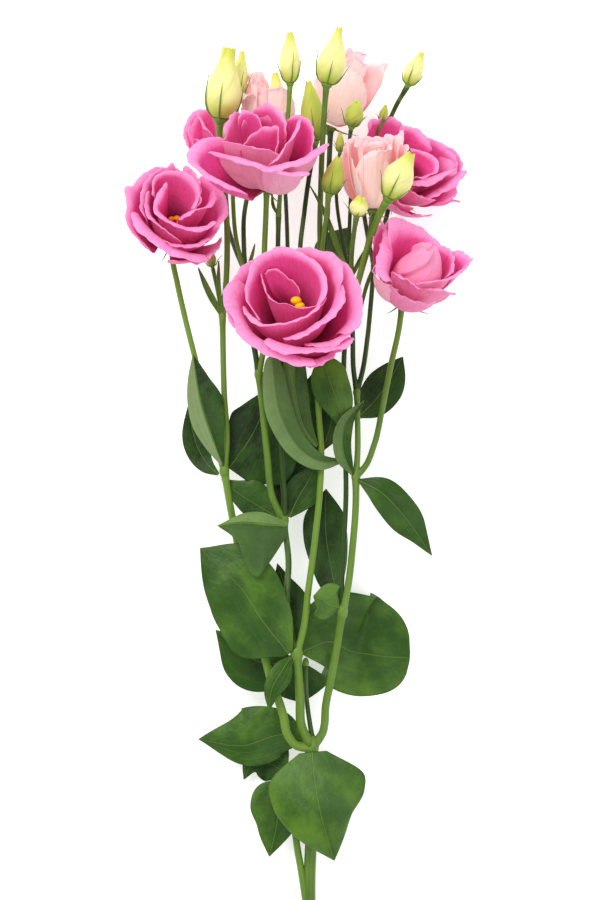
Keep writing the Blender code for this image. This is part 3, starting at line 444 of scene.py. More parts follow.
def budFinish(name, look):
    # foot colour to body colour to tip colour along the bud, with lines that follow the folds
    finish = Finish(name, 0.5, sheen=0.15, subsurface=0.1)
    finish.shader.inputs["Subsurface Scale"].default_value = 0.002
    across, share, tone = finish.fact("across"), finish.fact("share"), finish.fact("tone")
    lines = finish.noise(finish.place(across * 16, share * 1.5, tone * 5), 1.0, 3.0)
    clouds = finish.noise(finish.objectPlace(), 120.0, 2.0)
    colour = finish.mixed(finish.step(share + clouds * 0.2, 0.08, 0.5), look["foot"], look["body"])
    colour = finish.mixed(finish.step(share + clouds * 0.2, 0.72, 1.1), colour, look["tip"])
    colour = finish.mixed(finish.step(lines, 0.5, 0.8) * 0.2, colour, look["foot"])
    return finish.finished(colour, lines, 0.15)


def heartFinish(name, colour, shade):
    # colour with darker grains
    finish = Finish(name, 0.6)
    grains = finish.noise(finish.objectPlace(), 1500.0, 2.0)
    return finish.finished(finish.mixed(finish.step(grains, 0.4, 0.7), colour, shade), grains, 0.25)


# the flowers

# a pixel of the photograph spans this many millimetres on the plane at this height above the table, and the
# working frame's origin lies at originPixel; the nudge shifts the camera alone
cameraView = {
    "centre": (0, 330), "height": 1560, "lens": 100, "sensor": 36, "pixel": 0.6, "plane": 60,
    "originPixel": (300, 1000), "nudge": (0.0, 1.8),
}
seatGap = 0.35


def budRow(seat, way, length, widest, at, tip, neck=1.2, foldDepth=0.05):
    # a bud stands on its seat along its way; its radius is widest at a share of the length, and ends at tip
    return {"seat": seat, "way": way, "length": length, "widest": widest, "at": at, "tip": tip,
            "neck": neck, "foldDepth": foldDepth}


buds = {
    "a": budRow((-48, 530, 62), (0.13, 0.98, 0.12), 42, 10.8, 0.31, 3.6, 2.2),
    "b": budRow((-38, 542, 50), (0.1, 0.99, 0.0), 30, 5.0, 0.38, 1.2),
    "c": budRow((-13, 538, 16), (-0.08, 0.99, 0.05), 26, 4.9, 0.42, 1.6),
    "d": budRow((-6, 552, 58), (0.0, 1.0, 0.05), 30, 6.0, 0.34, 1.5),
    "e": budRow((9, 518, 50), (-0.1, 0.99, 0.05), 36, 6.7, 0.42, 1.4),
    "f": budRow((16, 550, 68), (0.22, 0.97, 0.05), 34, 8.2, 0.36, 1.6, 1.7),
    "g": budRow((66, 555, 32), (0.4, 0.91, 0.05), 21, 5.4, 0.36, 1.1),
    "h": budRow((50, 533, 26), (0.25, 0.95, 0.1), 10, 2.7, 0.4, 0.8),
    "i": budRow((31, 526, 60), (0.2, 0.93, 0.3), 15, 5.4, 0.45, 1.8),
    "j": budRow((24, 511, 58), (0.0, 0.95, 0.3), 11, 2.4, 0.4, 0.8),
    "k": budRow((17.5, 484, 74), (0.24, 0.96, 0.1), 22, 6.0, 0.38, 1.5),
    "l": budRow((52, 480, 88), (0.44, 0.88, 0.15), 29, 8.6, 0.42, 2.2, 1.5),
    "m": budRow((33.5, 470, 86), (0.2, 0.85, 0.45), 11, 5.2, 0.5, 2.2),
    "n": budRow((-53, 443, 46), (-0.2, 0.95, 0.1), 10, 3.0, 0.42, 0.9),
    "o": budRow((-44.5, 518, 45), (0.05, 0.98, -0.05), 15, 2.6, 0.4, 0.8),
}
greenBuds = "ehijkno"


def findWorkOrigin(letter):
    # mean of the bud's corners in the frame - (seat + way * (gap + length / 2)) in the working frame
    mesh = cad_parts["bud_" + letter].data
    corners = np.zeros(len(mesh.vertices) * 3, np.float32)
    mesh.vertices.foreach_get("co", corners)
    corners = np.unique(np.round(corners.reshape(-1, 3), 6), axis=0)
    bud = buds[letter]
    middle = np.array(bud["seat"]) + unit(bud["way"]) * (seatGap + bud["length"] / 2)
    return corners.mean(axis=0) - middle * mm


workOrigin = findWorkOrigin("d")
print("working frame stands at", np.round(workOrigin, 5))


def traced(roll, turn, *crest, bare=0.0, ripple=0.6, drop=0.06, **more):
    # a petal whose crest runs through points of the photograph: pixels across and down, and a level. Its rim
    # rolls by a length and a turn. More may hold the height of its foot, the ellipse of its wall, grow, which
    # rolls one end further, and peak, where and by how much the rim runs out
    return {"crest": crest, "roll": roll, "turn": turn, "bare": bare, "ripple": ripple, "drop": drop,
            "square": 6.0, **more}


def arched(azimuth, halfAngle, radius, height, roll, turn, bare=0.3, ripple=0.8):
    # a petal whose crest is an arc round the bloom's middle, at a radius and a height above the seat
    return {"arc": (azimuth, halfAngle, radius, height), "roll": roll, "turn": turn, "bare": bare,
            "ripple": ripple, "drop": 0.14, "square": 3.0}


blooms = {
    "bloom_front": {"seat": (-3.5, 401, 57.5), "way": (-0.03, 0.5, 0.866), "colour": "deep", "petals": [
        traced(0.2, 20, (300, 291, 33), (296, 283, 36), (288, 276, 39), (280, 270, 41), (272, 268, 42),
               (265, 272, 42), ripple=0.2, drop=0.02, foot=20),
        traced(1.2, 60, (262, 272, 43), (265, 282, 43), (269, 292, 42), (276, 300, 42), (287, 304, 42),
               (300, 305, 42), (312, 304, 42), (321, 299, 42), ripple=1.2, drop=0.02, ellipse=0.95),
        traced(4.5, 65, (262, 318, 42), (250, 300, 45), (252, 280, 47), (262, 263, 48), (284, 255, 48),
               (305, 261, 48), (318, 275, 48), (321, 292, 47), (316, 306, 44), drop=0.02),
        traced(5, 80, (245, 306, 42), (255, 316, 43), (275, 322, 44), (296, 319, 44), (312, 310, 44),
               (323, 297, 43), ripple=1.4),
        traced(9, 78, (334, 288, 40), (333, 300, 41), (326, 314, 41), (313, 324, 40), (300, 331, 38),
               (284, 337, 36)),
        traced(8, 70, (254, 336, 34), (238, 318, 36), (236, 300, 37), (243, 282, 38), (255, 269, 39),
               (268, 261, 39), peak=(-0.75, 2)),
        traced(8, 62, (290, 259, 43), (303, 257, 44), (316, 258, 44), (328, 267, 43), (334, 280, 42),
               (336, 296, 40), ripple=1.2, peak=(0.0, 2)),
        traced(15, 88, (312, 358, 26), (290, 352, 29), (269, 342, 32), (252, 330, 35), (244, 315, 37),
               (243, 300, 37), (249, 288, 35), ripple=1.2),
        traced(13, 84, (346, 336, 28), (329, 345, 30), (308, 347, 31), (289, 344, 32), (270, 338, 33),
               ripple=1.1),
        traced(13, 75, (314, 264, 36), (331, 273, 36), (343, 287, 35), (348, 304, 33), (345, 321, 31),
               (335, 333, 29), ripple=1.4, peak=(0.2, 2)),
        traced(9, 75, (349, 318, 29), (343, 331, 29), (331, 339, 30), (317, 342, 30), (304, 342, 30)),
        traced(9, 80, (340, 345, 24), (326, 354, 24), (310, 358, 25), (292, 355, 26), ripple=1),
        arched(100, 34, 33, 28, 8, 60),
        arched(142, 34, 33, 27, 8, 60),
    ]},
    "bloom_left": {"seat": (-77.5, 459.5, 40), "way": (0.12, 0.45, 0.885), "colour": "deep", "petals": [
        traced(4.5, 95, (168, 186, 38), (163, 197, 38), (159, 208, 38), (166, 216, 37), (177, 223, 37),
               (190, 225, 37), (203, 224, 37), (211, 220, 36), ripple=0.8, drop=0.02),
        traced(5, 100, (178, 217, 34), (185, 212, 36), (195, 208, 37), (203, 206, 37), (209, 200, 37),
               (210, 192, 36)),
        traced(3.5, 70, (155, 196, 36), (155, 184, 37), (160, 176, 37), (168, 173, 38), (177, 174, 38),
               (186, 180, 38), (193, 188, 38), (195, 197, 37), (190, 208, 36), ripple=0.4, drop=0.02),
        traced(5, 65, (182, 172, 34), (191, 175, 35), (196, 183, 35), (197, 192, 35), (195, 202, 35),
               (190, 210, 34), ripple=0.8),
        traced(4, 70, (150, 190, 34), (149, 204, 34), (153, 215, 34), (161, 225, 33), (170, 232, 32),
               (181, 240, 30)),
        traced(5, 60, (170, 171, 33), (159, 175, 34), (150, 184, 34), (146, 195, 34), (145, 206, 33),
               (147, 218, 31)),
        traced(4, 80, (163, 238, 28), (172, 242, 29), (184, 243, 29), (196, 240, 29), (207, 236, 29),
               (216, 230, 28), ripple=1.0),
        traced(11, 105, (139, 213, 29), (145, 222, 29), (153, 231, 28), (163, 239, 26), (175, 246, 24),
               (188, 251, 22), (202, 253, 20), ripple=0.9),
        traced(5.5, 60, (166, 168, 28), (154, 175, 28), (143, 186, 27), (136, 199, 26), (133, 213, 25),
               (134, 227, 23), (141, 239, 21), (151, 247, 18), ripple=1.2, peak=(0.1, 6)),
        traced(2, 40, (152, 179, 30), (163, 174, 31), (173, 171, 31), (183, 174, 31), (192, 180, 30),
               ripple=1.2, peak=(0, 4)),
        traced(8, 60, (198, 180, 30), (208, 188, 29), (215, 202, 28), (216, 216, 27), (213, 229, 25),
               (205, 240, 23), ripple=1.8),
        arched(300, 40, 27, 17, 8, 60),
    ]},
    "bloom_upper": {"seat": (-20, 489, 62), "way": (0.0, 0.65, 0.76), "colour": "deep", "petals": [
        traced(1, 15, (240, 148, 32), (247, 140, 34), (255, 133, 36), (263, 129, 38), (270, 129, 38),
               (276, 128, 38), (278, 140, 36), (275, 152, 33), ripple=0.2, drop=0.02, bare=0.4),
        traced(2, 40, (238, 120, 38), (243, 114, 40), (252, 113, 41), (258, 118, 40), (262, 127, 39)),
        traced(3, 50, (250, 114, 40), (258, 110, 41), (268, 109, 41), (276, 114, 41), (283, 122, 40),
               (287, 132, 38), ripple=0.8),
        traced(2.5, 60, (221, 140, 34), (232, 143, 34), (245, 145, 34), (258, 147, 34), (270, 151, 33),
               (282, 157, 31), bare=0.5),
        traced(4, 70, (268, 166, 29), (279, 153, 33), (288, 141, 36), (294, 130, 38), (297, 121, 39),
               bare=0.4),
        traced(3, 35, (286, 120, 38), (298, 119, 39), (306, 123, 38), (311, 132, 36), (312, 143, 34),
               (309, 154, 31), ripple=0.4),
        traced(9, 115, (262, 168, 29), (275, 165, 30), (288, 162, 31), (300, 158, 32), (312, 151, 33),
               (319, 148, 33), bare=0.6),
        traced(8, 125, (218, 153, 28), (232, 155, 29), (247, 159, 29), (262, 164, 29), (276, 169, 29),
               (290, 172, 28), (302, 172, 27), bare=0.9, ripple=0.8),
        traced(3, 40, (240, 112, 36), (234, 118, 37), (230, 128, 36), (226, 136, 35), (222, 142, 33)),
        traced(9, 90, (226, 142, 32), (212, 147, 31), (203, 155, 30), (201, 165, 29), (208, 173, 27),
               (220, 180, 25), (233, 186, 22), (248, 192, 18), ripple=1.2),
        arched(88, 46, 20, 34, 5, 50),
    ]},
    "bloom_back_left": {"seat": (-46.5, 497, 6.77), "way": (-0.1, 0.95, 0.3), "colour": "deep", "side": True,
        "petals": [
        traced(3, 50, (215, 118, 20), (212, 112, 24), (217, 108, 28), (226, 110, 30), (232, 116, 28)),
        traced(4, 100, (200, 117, 24), (204, 122, 28), (208, 129, 31), (213, 136, 32), (219, 142, 31),
               ripple=0.8),
        traced(4, 60, (196, 150, 20), (194, 138, 23), (197, 126, 24), (202, 117, 22), (210, 112, 18),
               bare=0.4),
        traced(2.5, 40, (202, 114, 8), (212, 110, 8), (224, 110, 8), (234, 114, 8)),
        traced(2.5, 70, (200, 157, 10), (190, 150, 12), (188, 137, 14), (191, 124, 15), (199, 114, 14),
               (209, 110, 12), ripple=1.4, bare=0.2),
        arched(190, 58, 15.2, 28, 3, 60),
        arched(0, 58, 15, 28, 6, 50),
    ]},
    "bloom_pale_left": {"seat": (-22, 510, 38), "way": (0.05, 0.98, 0.2), "colour": "pale", "side": True,
        "petals": [
        traced(2, 60, (243, 97, 50), (245, 88, 51), (251, 86, 51), (257, 90, 51), (259, 99, 50), ripple=2),
        arched(232, 40, 8, 42, 3, 60, 0.3, 2.2),
        arched(190, 50, 11, 43, 4, 40, 0.3, 2.2),
        arched(140, 60, 10, 45, 4, 30, 0.3, 2.2),
        traced(2, 40, (253, 106, 51), (260, 97, 53), (270, 91, 54), (281, 91, 52), (290, 98, 48),
               (295, 109, 43), bare=0.9, ripple=0.3),
        arched(20, 45, 9, 38, 3, 10, 0.6, 1.0),
        arched(220, 26, 14.5, 33, 12, 130, 0.6, 0.6),
        arched(200, 70, 15, 22, 5, 10, 0.9),
        arched(350, 60, 15.5, 24, 4, 20, 0.9, 0.4),
    ]},
    "bloom_pale_top": {"seat": (19.5, 532, 13.32), "way": (0.38, 0.92, 0.1), "colour": "pale", "side": True,
        "petals": [
        traced(2, 60, (343, 66, 20), (343, 56, 20), (347, 50, 19), (354, 50, 18), (360, 55, 18),
               (363, 66, 18), ripple=2.4),
        traced(2, 60, (343, 72, 24), (346, 62, 24), (352, 58, 24), (360, 62, 23), (364, 72, 22), ripple=2.4),
        traced(1.5, 30, (321, 84, 18), (330, 74, 26), (343, 69, 30), (354, 77, 31), (363, 88, 29),
               (366, 101, 23), ripple=0.3, bare=0.8),
        traced(2, 30, (354, 66, 10), (365, 66, 15), (372, 66, 18), (379, 68, 18), (382, 75, 18),
               (376, 90, 16), drop=0.02, ripple=0.3),
        traced(2, 20, (376, 70, 10), (381, 65, 10), (387, 66, 10)),
        traced(2, 30, (313, 90, 6), (314, 84, 12), (319, 82, 18), (326, 84, 22)),
        arched(250, 84, 9, 30, 4, 0.1, 0.8, 0.3),
        arched(14, 36, 15, 24, 8, 20, 0.8, 0.3),
    ]},
    "bloom_pale_right": {"seat": (44, 476.5, 54.5), "way": (0.02, 0.9, 0.42), "colour": "pale", "side": True,
        "petals": [
        arched(250, 50, 4.5, 37, 4, 40, 0.2, 1.6),
        arched(60, 60, 5.5, 37, 4, 40, 0.2, 1.6),
        arched(160, 60, 8.5, 36, 4, 50, 0.2, 2.0),
        arched(330, 56, 8.5, 36, 4, 50, 0.2, 2.0),
        traced(2, 50, (359, 152, 66), (365, 146, 69), (373, 144, 70), (381, 147, 69), (386, 154, 65),
               ripple=1.6, bare=0.4),
        arched(80, 70, 10.5, 38, 3, 20, 0.2, 1.6),
        traced(4, -60, (354, 176, 66), (358, 164, 71), (366, 157, 74), (376, 156, 75), (386, 161, 73),
               (392, 172, 68), ripple=0.3, bare=0.8),
        traced(2, 35, (362, 190, 72), (358, 176, 71), (352, 160, 68), (350, 147, 66), (353, 138, 64),
               ripple=0.5, bare=0.8),
        traced(2, 25, (344, 184, 56), (342, 170, 60), (344, 155, 62), (349, 144, 62), (356, 137, 60),
               ripple=0.5, bare=0.8),
        traced(2, 40, (388, 153, 68), (390, 145, 66), (394, 138, 63), (400, 134, 60), (403, 142, 56),
               ripple=0.5, bare=0.6),
        arched(150, 40, 15, 36, 5, 45, 0.5, 1.0),
        arched(30, 46, 14.5, 38, 5, 30, 0.3, 0.4),
        arched(0, 50, 17.5, 32, 5, 35, 0.5, 0.5),
    ]},
    "bloom_back_right": {"seat": (57.5, 491, 6.5), "way": (0.45, 0.4, 0.8), "colour": "deep", "petals": [
        traced(2, 60, (410, 150, 34), (418, 151, 35), (427, 155, 35), (433, 162, 35), (432, 170, 34),
               (423, 173, 33), (412, 176, 32), ripple=1.2, drop=0.02, foot=22),
        traced(7, 100, (408, 181, 30), (422, 177, 32), (436, 173, 32), (451, 168, 31)),
        traced(4, 50, (399, 152, 32), (397, 140, 32), (401, 130, 32), (411, 132, 33), (421, 141, 33),
               (430, 149, 33)),
        traced(8, 85, (424, 195, 27), (436, 187, 28), (447, 179, 29), (456, 171, 28)),
        traced(3.5, 50, (404, 130, 31), (416, 134, 31), (428, 142, 30), (440, 150, 29), (449, 158, 28),
               (455, 168, 27), ripple=2.4),
        traced(3, 60, (404, 184, 29), (412, 190, 28), (422, 195, 27), (433, 198, 25), bare=0.3),
        traced(4, 50, (366, 134, 28), (372, 124, 28), (383, 121, 28), (393, 123, 29), (402, 128, 30)),
        traced(2.5, 45, (408, 130, 27), (423, 139, 27), (439, 145, 26), (451, 152, 25), (457, 163, 24),
               (454, 176, 22), (446, 188, 21), ripple=2.8, grow=0.5),
        traced(7, 60, (436, 197, 20), (443, 198, 19), (449, 201, 17), ripple=1.5),
        arched(225, 40, 23.2, 23, 6, 60),
        arched(0, 44, 24.4, 22, 9, 80),
        arched(262, 40, 25, 18, 5, 60),
    ]},
    "bloom_right": {"seat": (62, 421, 52), "way": (0.25, 0.6, 0.76), "colour": "deep",
        "heart": budRow((62, 421, 52), (0.36, 0.74, 0.57), 42, 11.8, 0.52, 3.6, foldDepth=0.16), "petals": [
        traced(3.5, 80, (391, 272, 27), (398, 274, 28), (406, 278, 28), (413, 283, 27), (420, 288, 26),
               bare=0.3),
        traced(5, 90, (414, 283, 25), (426, 281, 26), (438, 279, 27), (450, 275, 27), (459, 269, 27),
               (465, 262, 27), bare=0.3),
        traced(3, 45, (436, 246, 30), (444, 250, 30), (450, 259, 29), (449, 269, 28), (443, 277, 27)),
        traced(7.5, 55, (389, 254, 29), (390, 245, 31), (397, 237, 32), (409, 235, 32), (422, 239, 32),
               (436, 247, 32), (449, 255, 30), ripple=1.0, grow=-0.65),
        traced(12, 105, (386, 234, 30), (391, 244, 30), (392, 255, 29), (389, 265, 28), (388, 275, 26),
               (392, 283, 24)),
        traced(6, 55, (448, 254, 27), (456, 257, 28), (462, 263, 27), (459, 271, 26), (451, 277, 25),
               peak=(0, 2)),
        traced(5, 100, (420, 286, 22), (430, 288, 22), (441, 290, 21), (450, 292, 19), bare=0.4),
        traced(5, 40, (374, 246, 28), (377, 233, 28), (384, 226, 29), (394, 225, 29), (406, 229, 29),
               ripple=1.2),
        traced(2, 30, (375, 264, 24), (375, 274, 24), (380, 280, 24), (388, 285, 23), (398, 288, 22),
               bare=1.0),
        arched(250, 60, 18.5, 20, 4, 40),
    ]},
}

petalForm = {
    "rows": 42, "columns": 57, "rowPower": 0.85,
    "footRadius": 2.4, "footHeight": 1.0, "footStep": 0.14, "footWidth": 0.7,
    "wallEllipse": 0.8, "wallLength": 1.12, "climbPower": 0.9, "crestShare": 0.8, "lap": 1.2,
    "ripple": 1.3, "rippleRate": 4.5, "frill": 0.5, "frillRate": 15.0,
    "notch": 0.025, "notchRate": 3.0, "nick": 0.45, "nickRate": 16.0,
    "rollExtra": 1.4, "rollWave": 0.25, "rollRate": 2.6, "turnRate": 2.1, "peakWidth": 0.12,
    "footThickness": 0.9, "rimThickness": 0.32,
}


def bloomFrame(bloom):
    # the turn that takes straight up to the way the bloom opens
    turn = Vector((0, 0, 1)).rotation_difference(Vector(bloom["way"]).normalized())
    return np.array(bloom["seat"], float), np.array(turn.to_matrix())


def seenPoint(bloom, point):
    # the place on the camera's sight line through a photograph pixel that stands as far above the seat, along
    # the way the bloom opens, as the third number says; where the bloom is seen from the side, it says the z
    across, down, level = point
    camera = np.array([*cameraView["centre"], cameraView["height"]], float)
    size, (column, row) = cameraView["pixel"], cameraView["originPixel"]
    sight = np.array([size * (across - column), size * (row - down), cameraView["plane"]]) - camera
    if bloom.get("side"):
        reach = (level - camera[2]) / sight[2]
    else:
        way = unit(bloom["way"])
        reach = ((np.array(bloom["seat"]) - camera) @ way + level) / (sight @ way)
    return camera + sight * reach


def crestLine(bloom, petal, columns):
    # angle, radius and height of the crest in the bloom's frame, clockwise so that the sheet's front is the
    # inside of the cup: an arc of one height, or a smooth line through the petal's own points
    across = np.linspace(-1.0, 1.0, columns)
    if "arc" in petal:
        azimuth, halfAngle, radius, height = petal["arc"]
        angle = math.radians(azimuth) - math.radians(halfAngle) * across
        return angle, radius - petalForm["lap"] * across, height + 0 * across
    seat, axes = bloomFrame(bloom)
    points = (np.array([seenPoint(bloom, point) for point in petal["crest"]]) - seat) @ axes
    line = curveThrough(points, (across + 1.0) / 2.0)
    angle = np.unwrap(np.arctan2(line[:, 1], line[:, 0]))
    onward = -1 if angle[-1] > angle[0] else 1
    return angle[::onward], np.hypot(line[:, 0], line[:, 1])[::onward], line[::onward, 2]


def petalSheet(bloom, petal, layer):
    # wall: radius = foot + wide * (ellipse * sin swing + (1 - ellipse) * climb), height = foot + tall *
    # (1 - cos swing), where swing = climb * 90 degrees; beyond the crest an arc of the roll's length turns by
    # the roll's angle; ripple and frill stand on the surface, and the rim drops to its corners with notches
    form = petalForm
    crestAngle, crestRadius, crestHeight = crestLine(bloom, petal, form["columns"])
    footHeight = petal.get("foot", form["footHeight"] + form["footStep"] * layer)
    wide, tall = crestRadius - form["footRadius"], crestHeight - footHeight
    across = np.linspace(-1.0, 1.0, form["columns"])
    seed = float(crestAngle.mean()) * 21.0 + layer * 1.7 + float(crestRadius.mean())
    rollWave = 1.0 + form["rollWave"] * waves(across * form["rollRate"], seed * 0.7)
    turnWave = 1.0 + form["rollWave"] * waves(across * form["turnRate"], seed * 0.9)
    roll = (petal["roll"] + form["rollExtra"]) * rollWave * (1.0 + petal.get("grow", 0.0) * across)
    bend = math.radians(petal["turn"]) * turnWave
    if "peak" in petal:
        at, more = petal["peak"]
        roll = roll + more * np.exp(-(((across - at) / form["peakWidth"]) ** 2))
    wall = form["wallLength"] * np.hypot(crestRadius, crestHeight - footHeight)
    wallShare = wall / (wall + roll)
    across, share = np.meshgrid(across, np.linspace(0.0, 1.0, form["rows"]) ** form["rowPower"])
    rimLine = 1.0 - petal["drop"] * np.abs(across) ** petal["square"]
    nicks = form["nick"] * waves(across * form["nickRate"], seed * 2)
    rimLine += form["notch"] * (waves(across * form["notchRate"], seed) + nicks)
    share = share * rimLine

    climb = np.clip(share / wallShare, 0.0, 1.0) ** form["climbPower"]
    swing = climb * math.pi / 2
    ellipse = petal.get("ellipse", form["wallEllipse"])
    radius = form["footRadius"] + wide * (ellipse * np.sin(swing) + (1.0 - ellipse) * climb)
    height = footHeight + tall * (1.0 - np.cos(swing))
    even = (1.0 - ellipse) * wide * 2 / math.pi
    lean = np.arctan2(even, tall)
    past = np.maximum((share - wallShare) / (1.0 - wallShare), 0.0)
    tilt = lean + bend * past
    radius += roll / bend * (np.cos(lean) - np.cos(tilt))
    height += roll / bend * (np.sin(tilt) - np.sin(lean))
    wallTilt = np.arctan2(ellipse * wide * np.cos(swing) + even, tall * np.sin(swing))
    slope = np.where(past > 0, tilt, wallTilt)

    offset = form["ripple"] * petal["ripple"] * waves(across * form["rippleRate"], seed) * share**5
    offset += form["frill"] * waves(across * form["frillRate"], seed * 1.3) * ease(share, 0.8, 1.0)
    radius += offset * np.cos(slope)
    height -= offset * np.sin(slope)
    spread = form["footWidth"] + (1.0 - form["footWidth"]) * ease(share, 0.0, 0.5)
    middle = (crestAngle[0] + crestAngle[-1]) / 2
    angle = middle + (crestAngle - middle) * spread
    points = np.stack([radius * np.cos(angle), radius * np.sin(angle), height], axis=-1)
    thickness = form["footThickness"] + (form["rimThickness"] - form["footThickness"]) * ease(share, 0.1, 0.8)
    crest = form["crestShare"]
    tint = np.where(past > 0, crest + (1.0 - crest) * past, crest * np.minimum(share / wallShare, 1.0))
    return points, across, tint, thickness


def makeBloom(name, finishes):
    # every petal in its layer, the outermost first, placed at seat + way * gap + axes * point; the innermost
    # petals, where they are still folded round each other, are a bud with deep folds
    bloom = blooms[name]
    seat, axes = bloomFrame(bloom)
    tones = np.random.default_rng(len(name) * 7 + 3)
    shells = []
    for layer, petal in enumerate(reversed(bloom["petals"])):
        points, across, share, thickness = petalSheet(bloom, petal, layer)
        shell = bladeShell(seat + axes[:, 2] * seatGap + points @ axes.T, thickness)
        # each petal carries how far its back lies open to the light, which the finish paints as light on that
        # back
        shell["facts"] = {**sheetFacts(across, share, tones.uniform(0.2, 1.0)), "bare": petal["bare"]}
        shells.append(shell)
    if "heart" in bloom:
        shells.append(budShell(bloom["heart"], 0.35))
        # the heart shows the backs of its folds, painted halfway to the lit palest back colour
        shells[-1]["facts"] |= {"side": 1.0, "bare": 0.5}
    colour = bloom["colour"]
    newPiece(name.replace("bloom", "petals"), shells, finishes[colour], "petal_" + colour, [name])


# the leaves

def blade(midrib, left, right, lift, tone, halves=(0.0, 0.0), film=(0.0, 0.0), rounded=False):
    # a leaf's midrib, the widths of its halves at even steps, and how far the halves lift; its tone from dark
    # to light, partly its own green and partly painted shade, and what each half adds to it, painted light as
    # the halves of a folded blade take the light unequally, and what it shows of the grey film, the left half
    # first
    return {"midrib": midrib, "left": left, "right": right, "lift": lift, "tone": tone, "halves": halves,
            "film": film, "rounded": rounded}


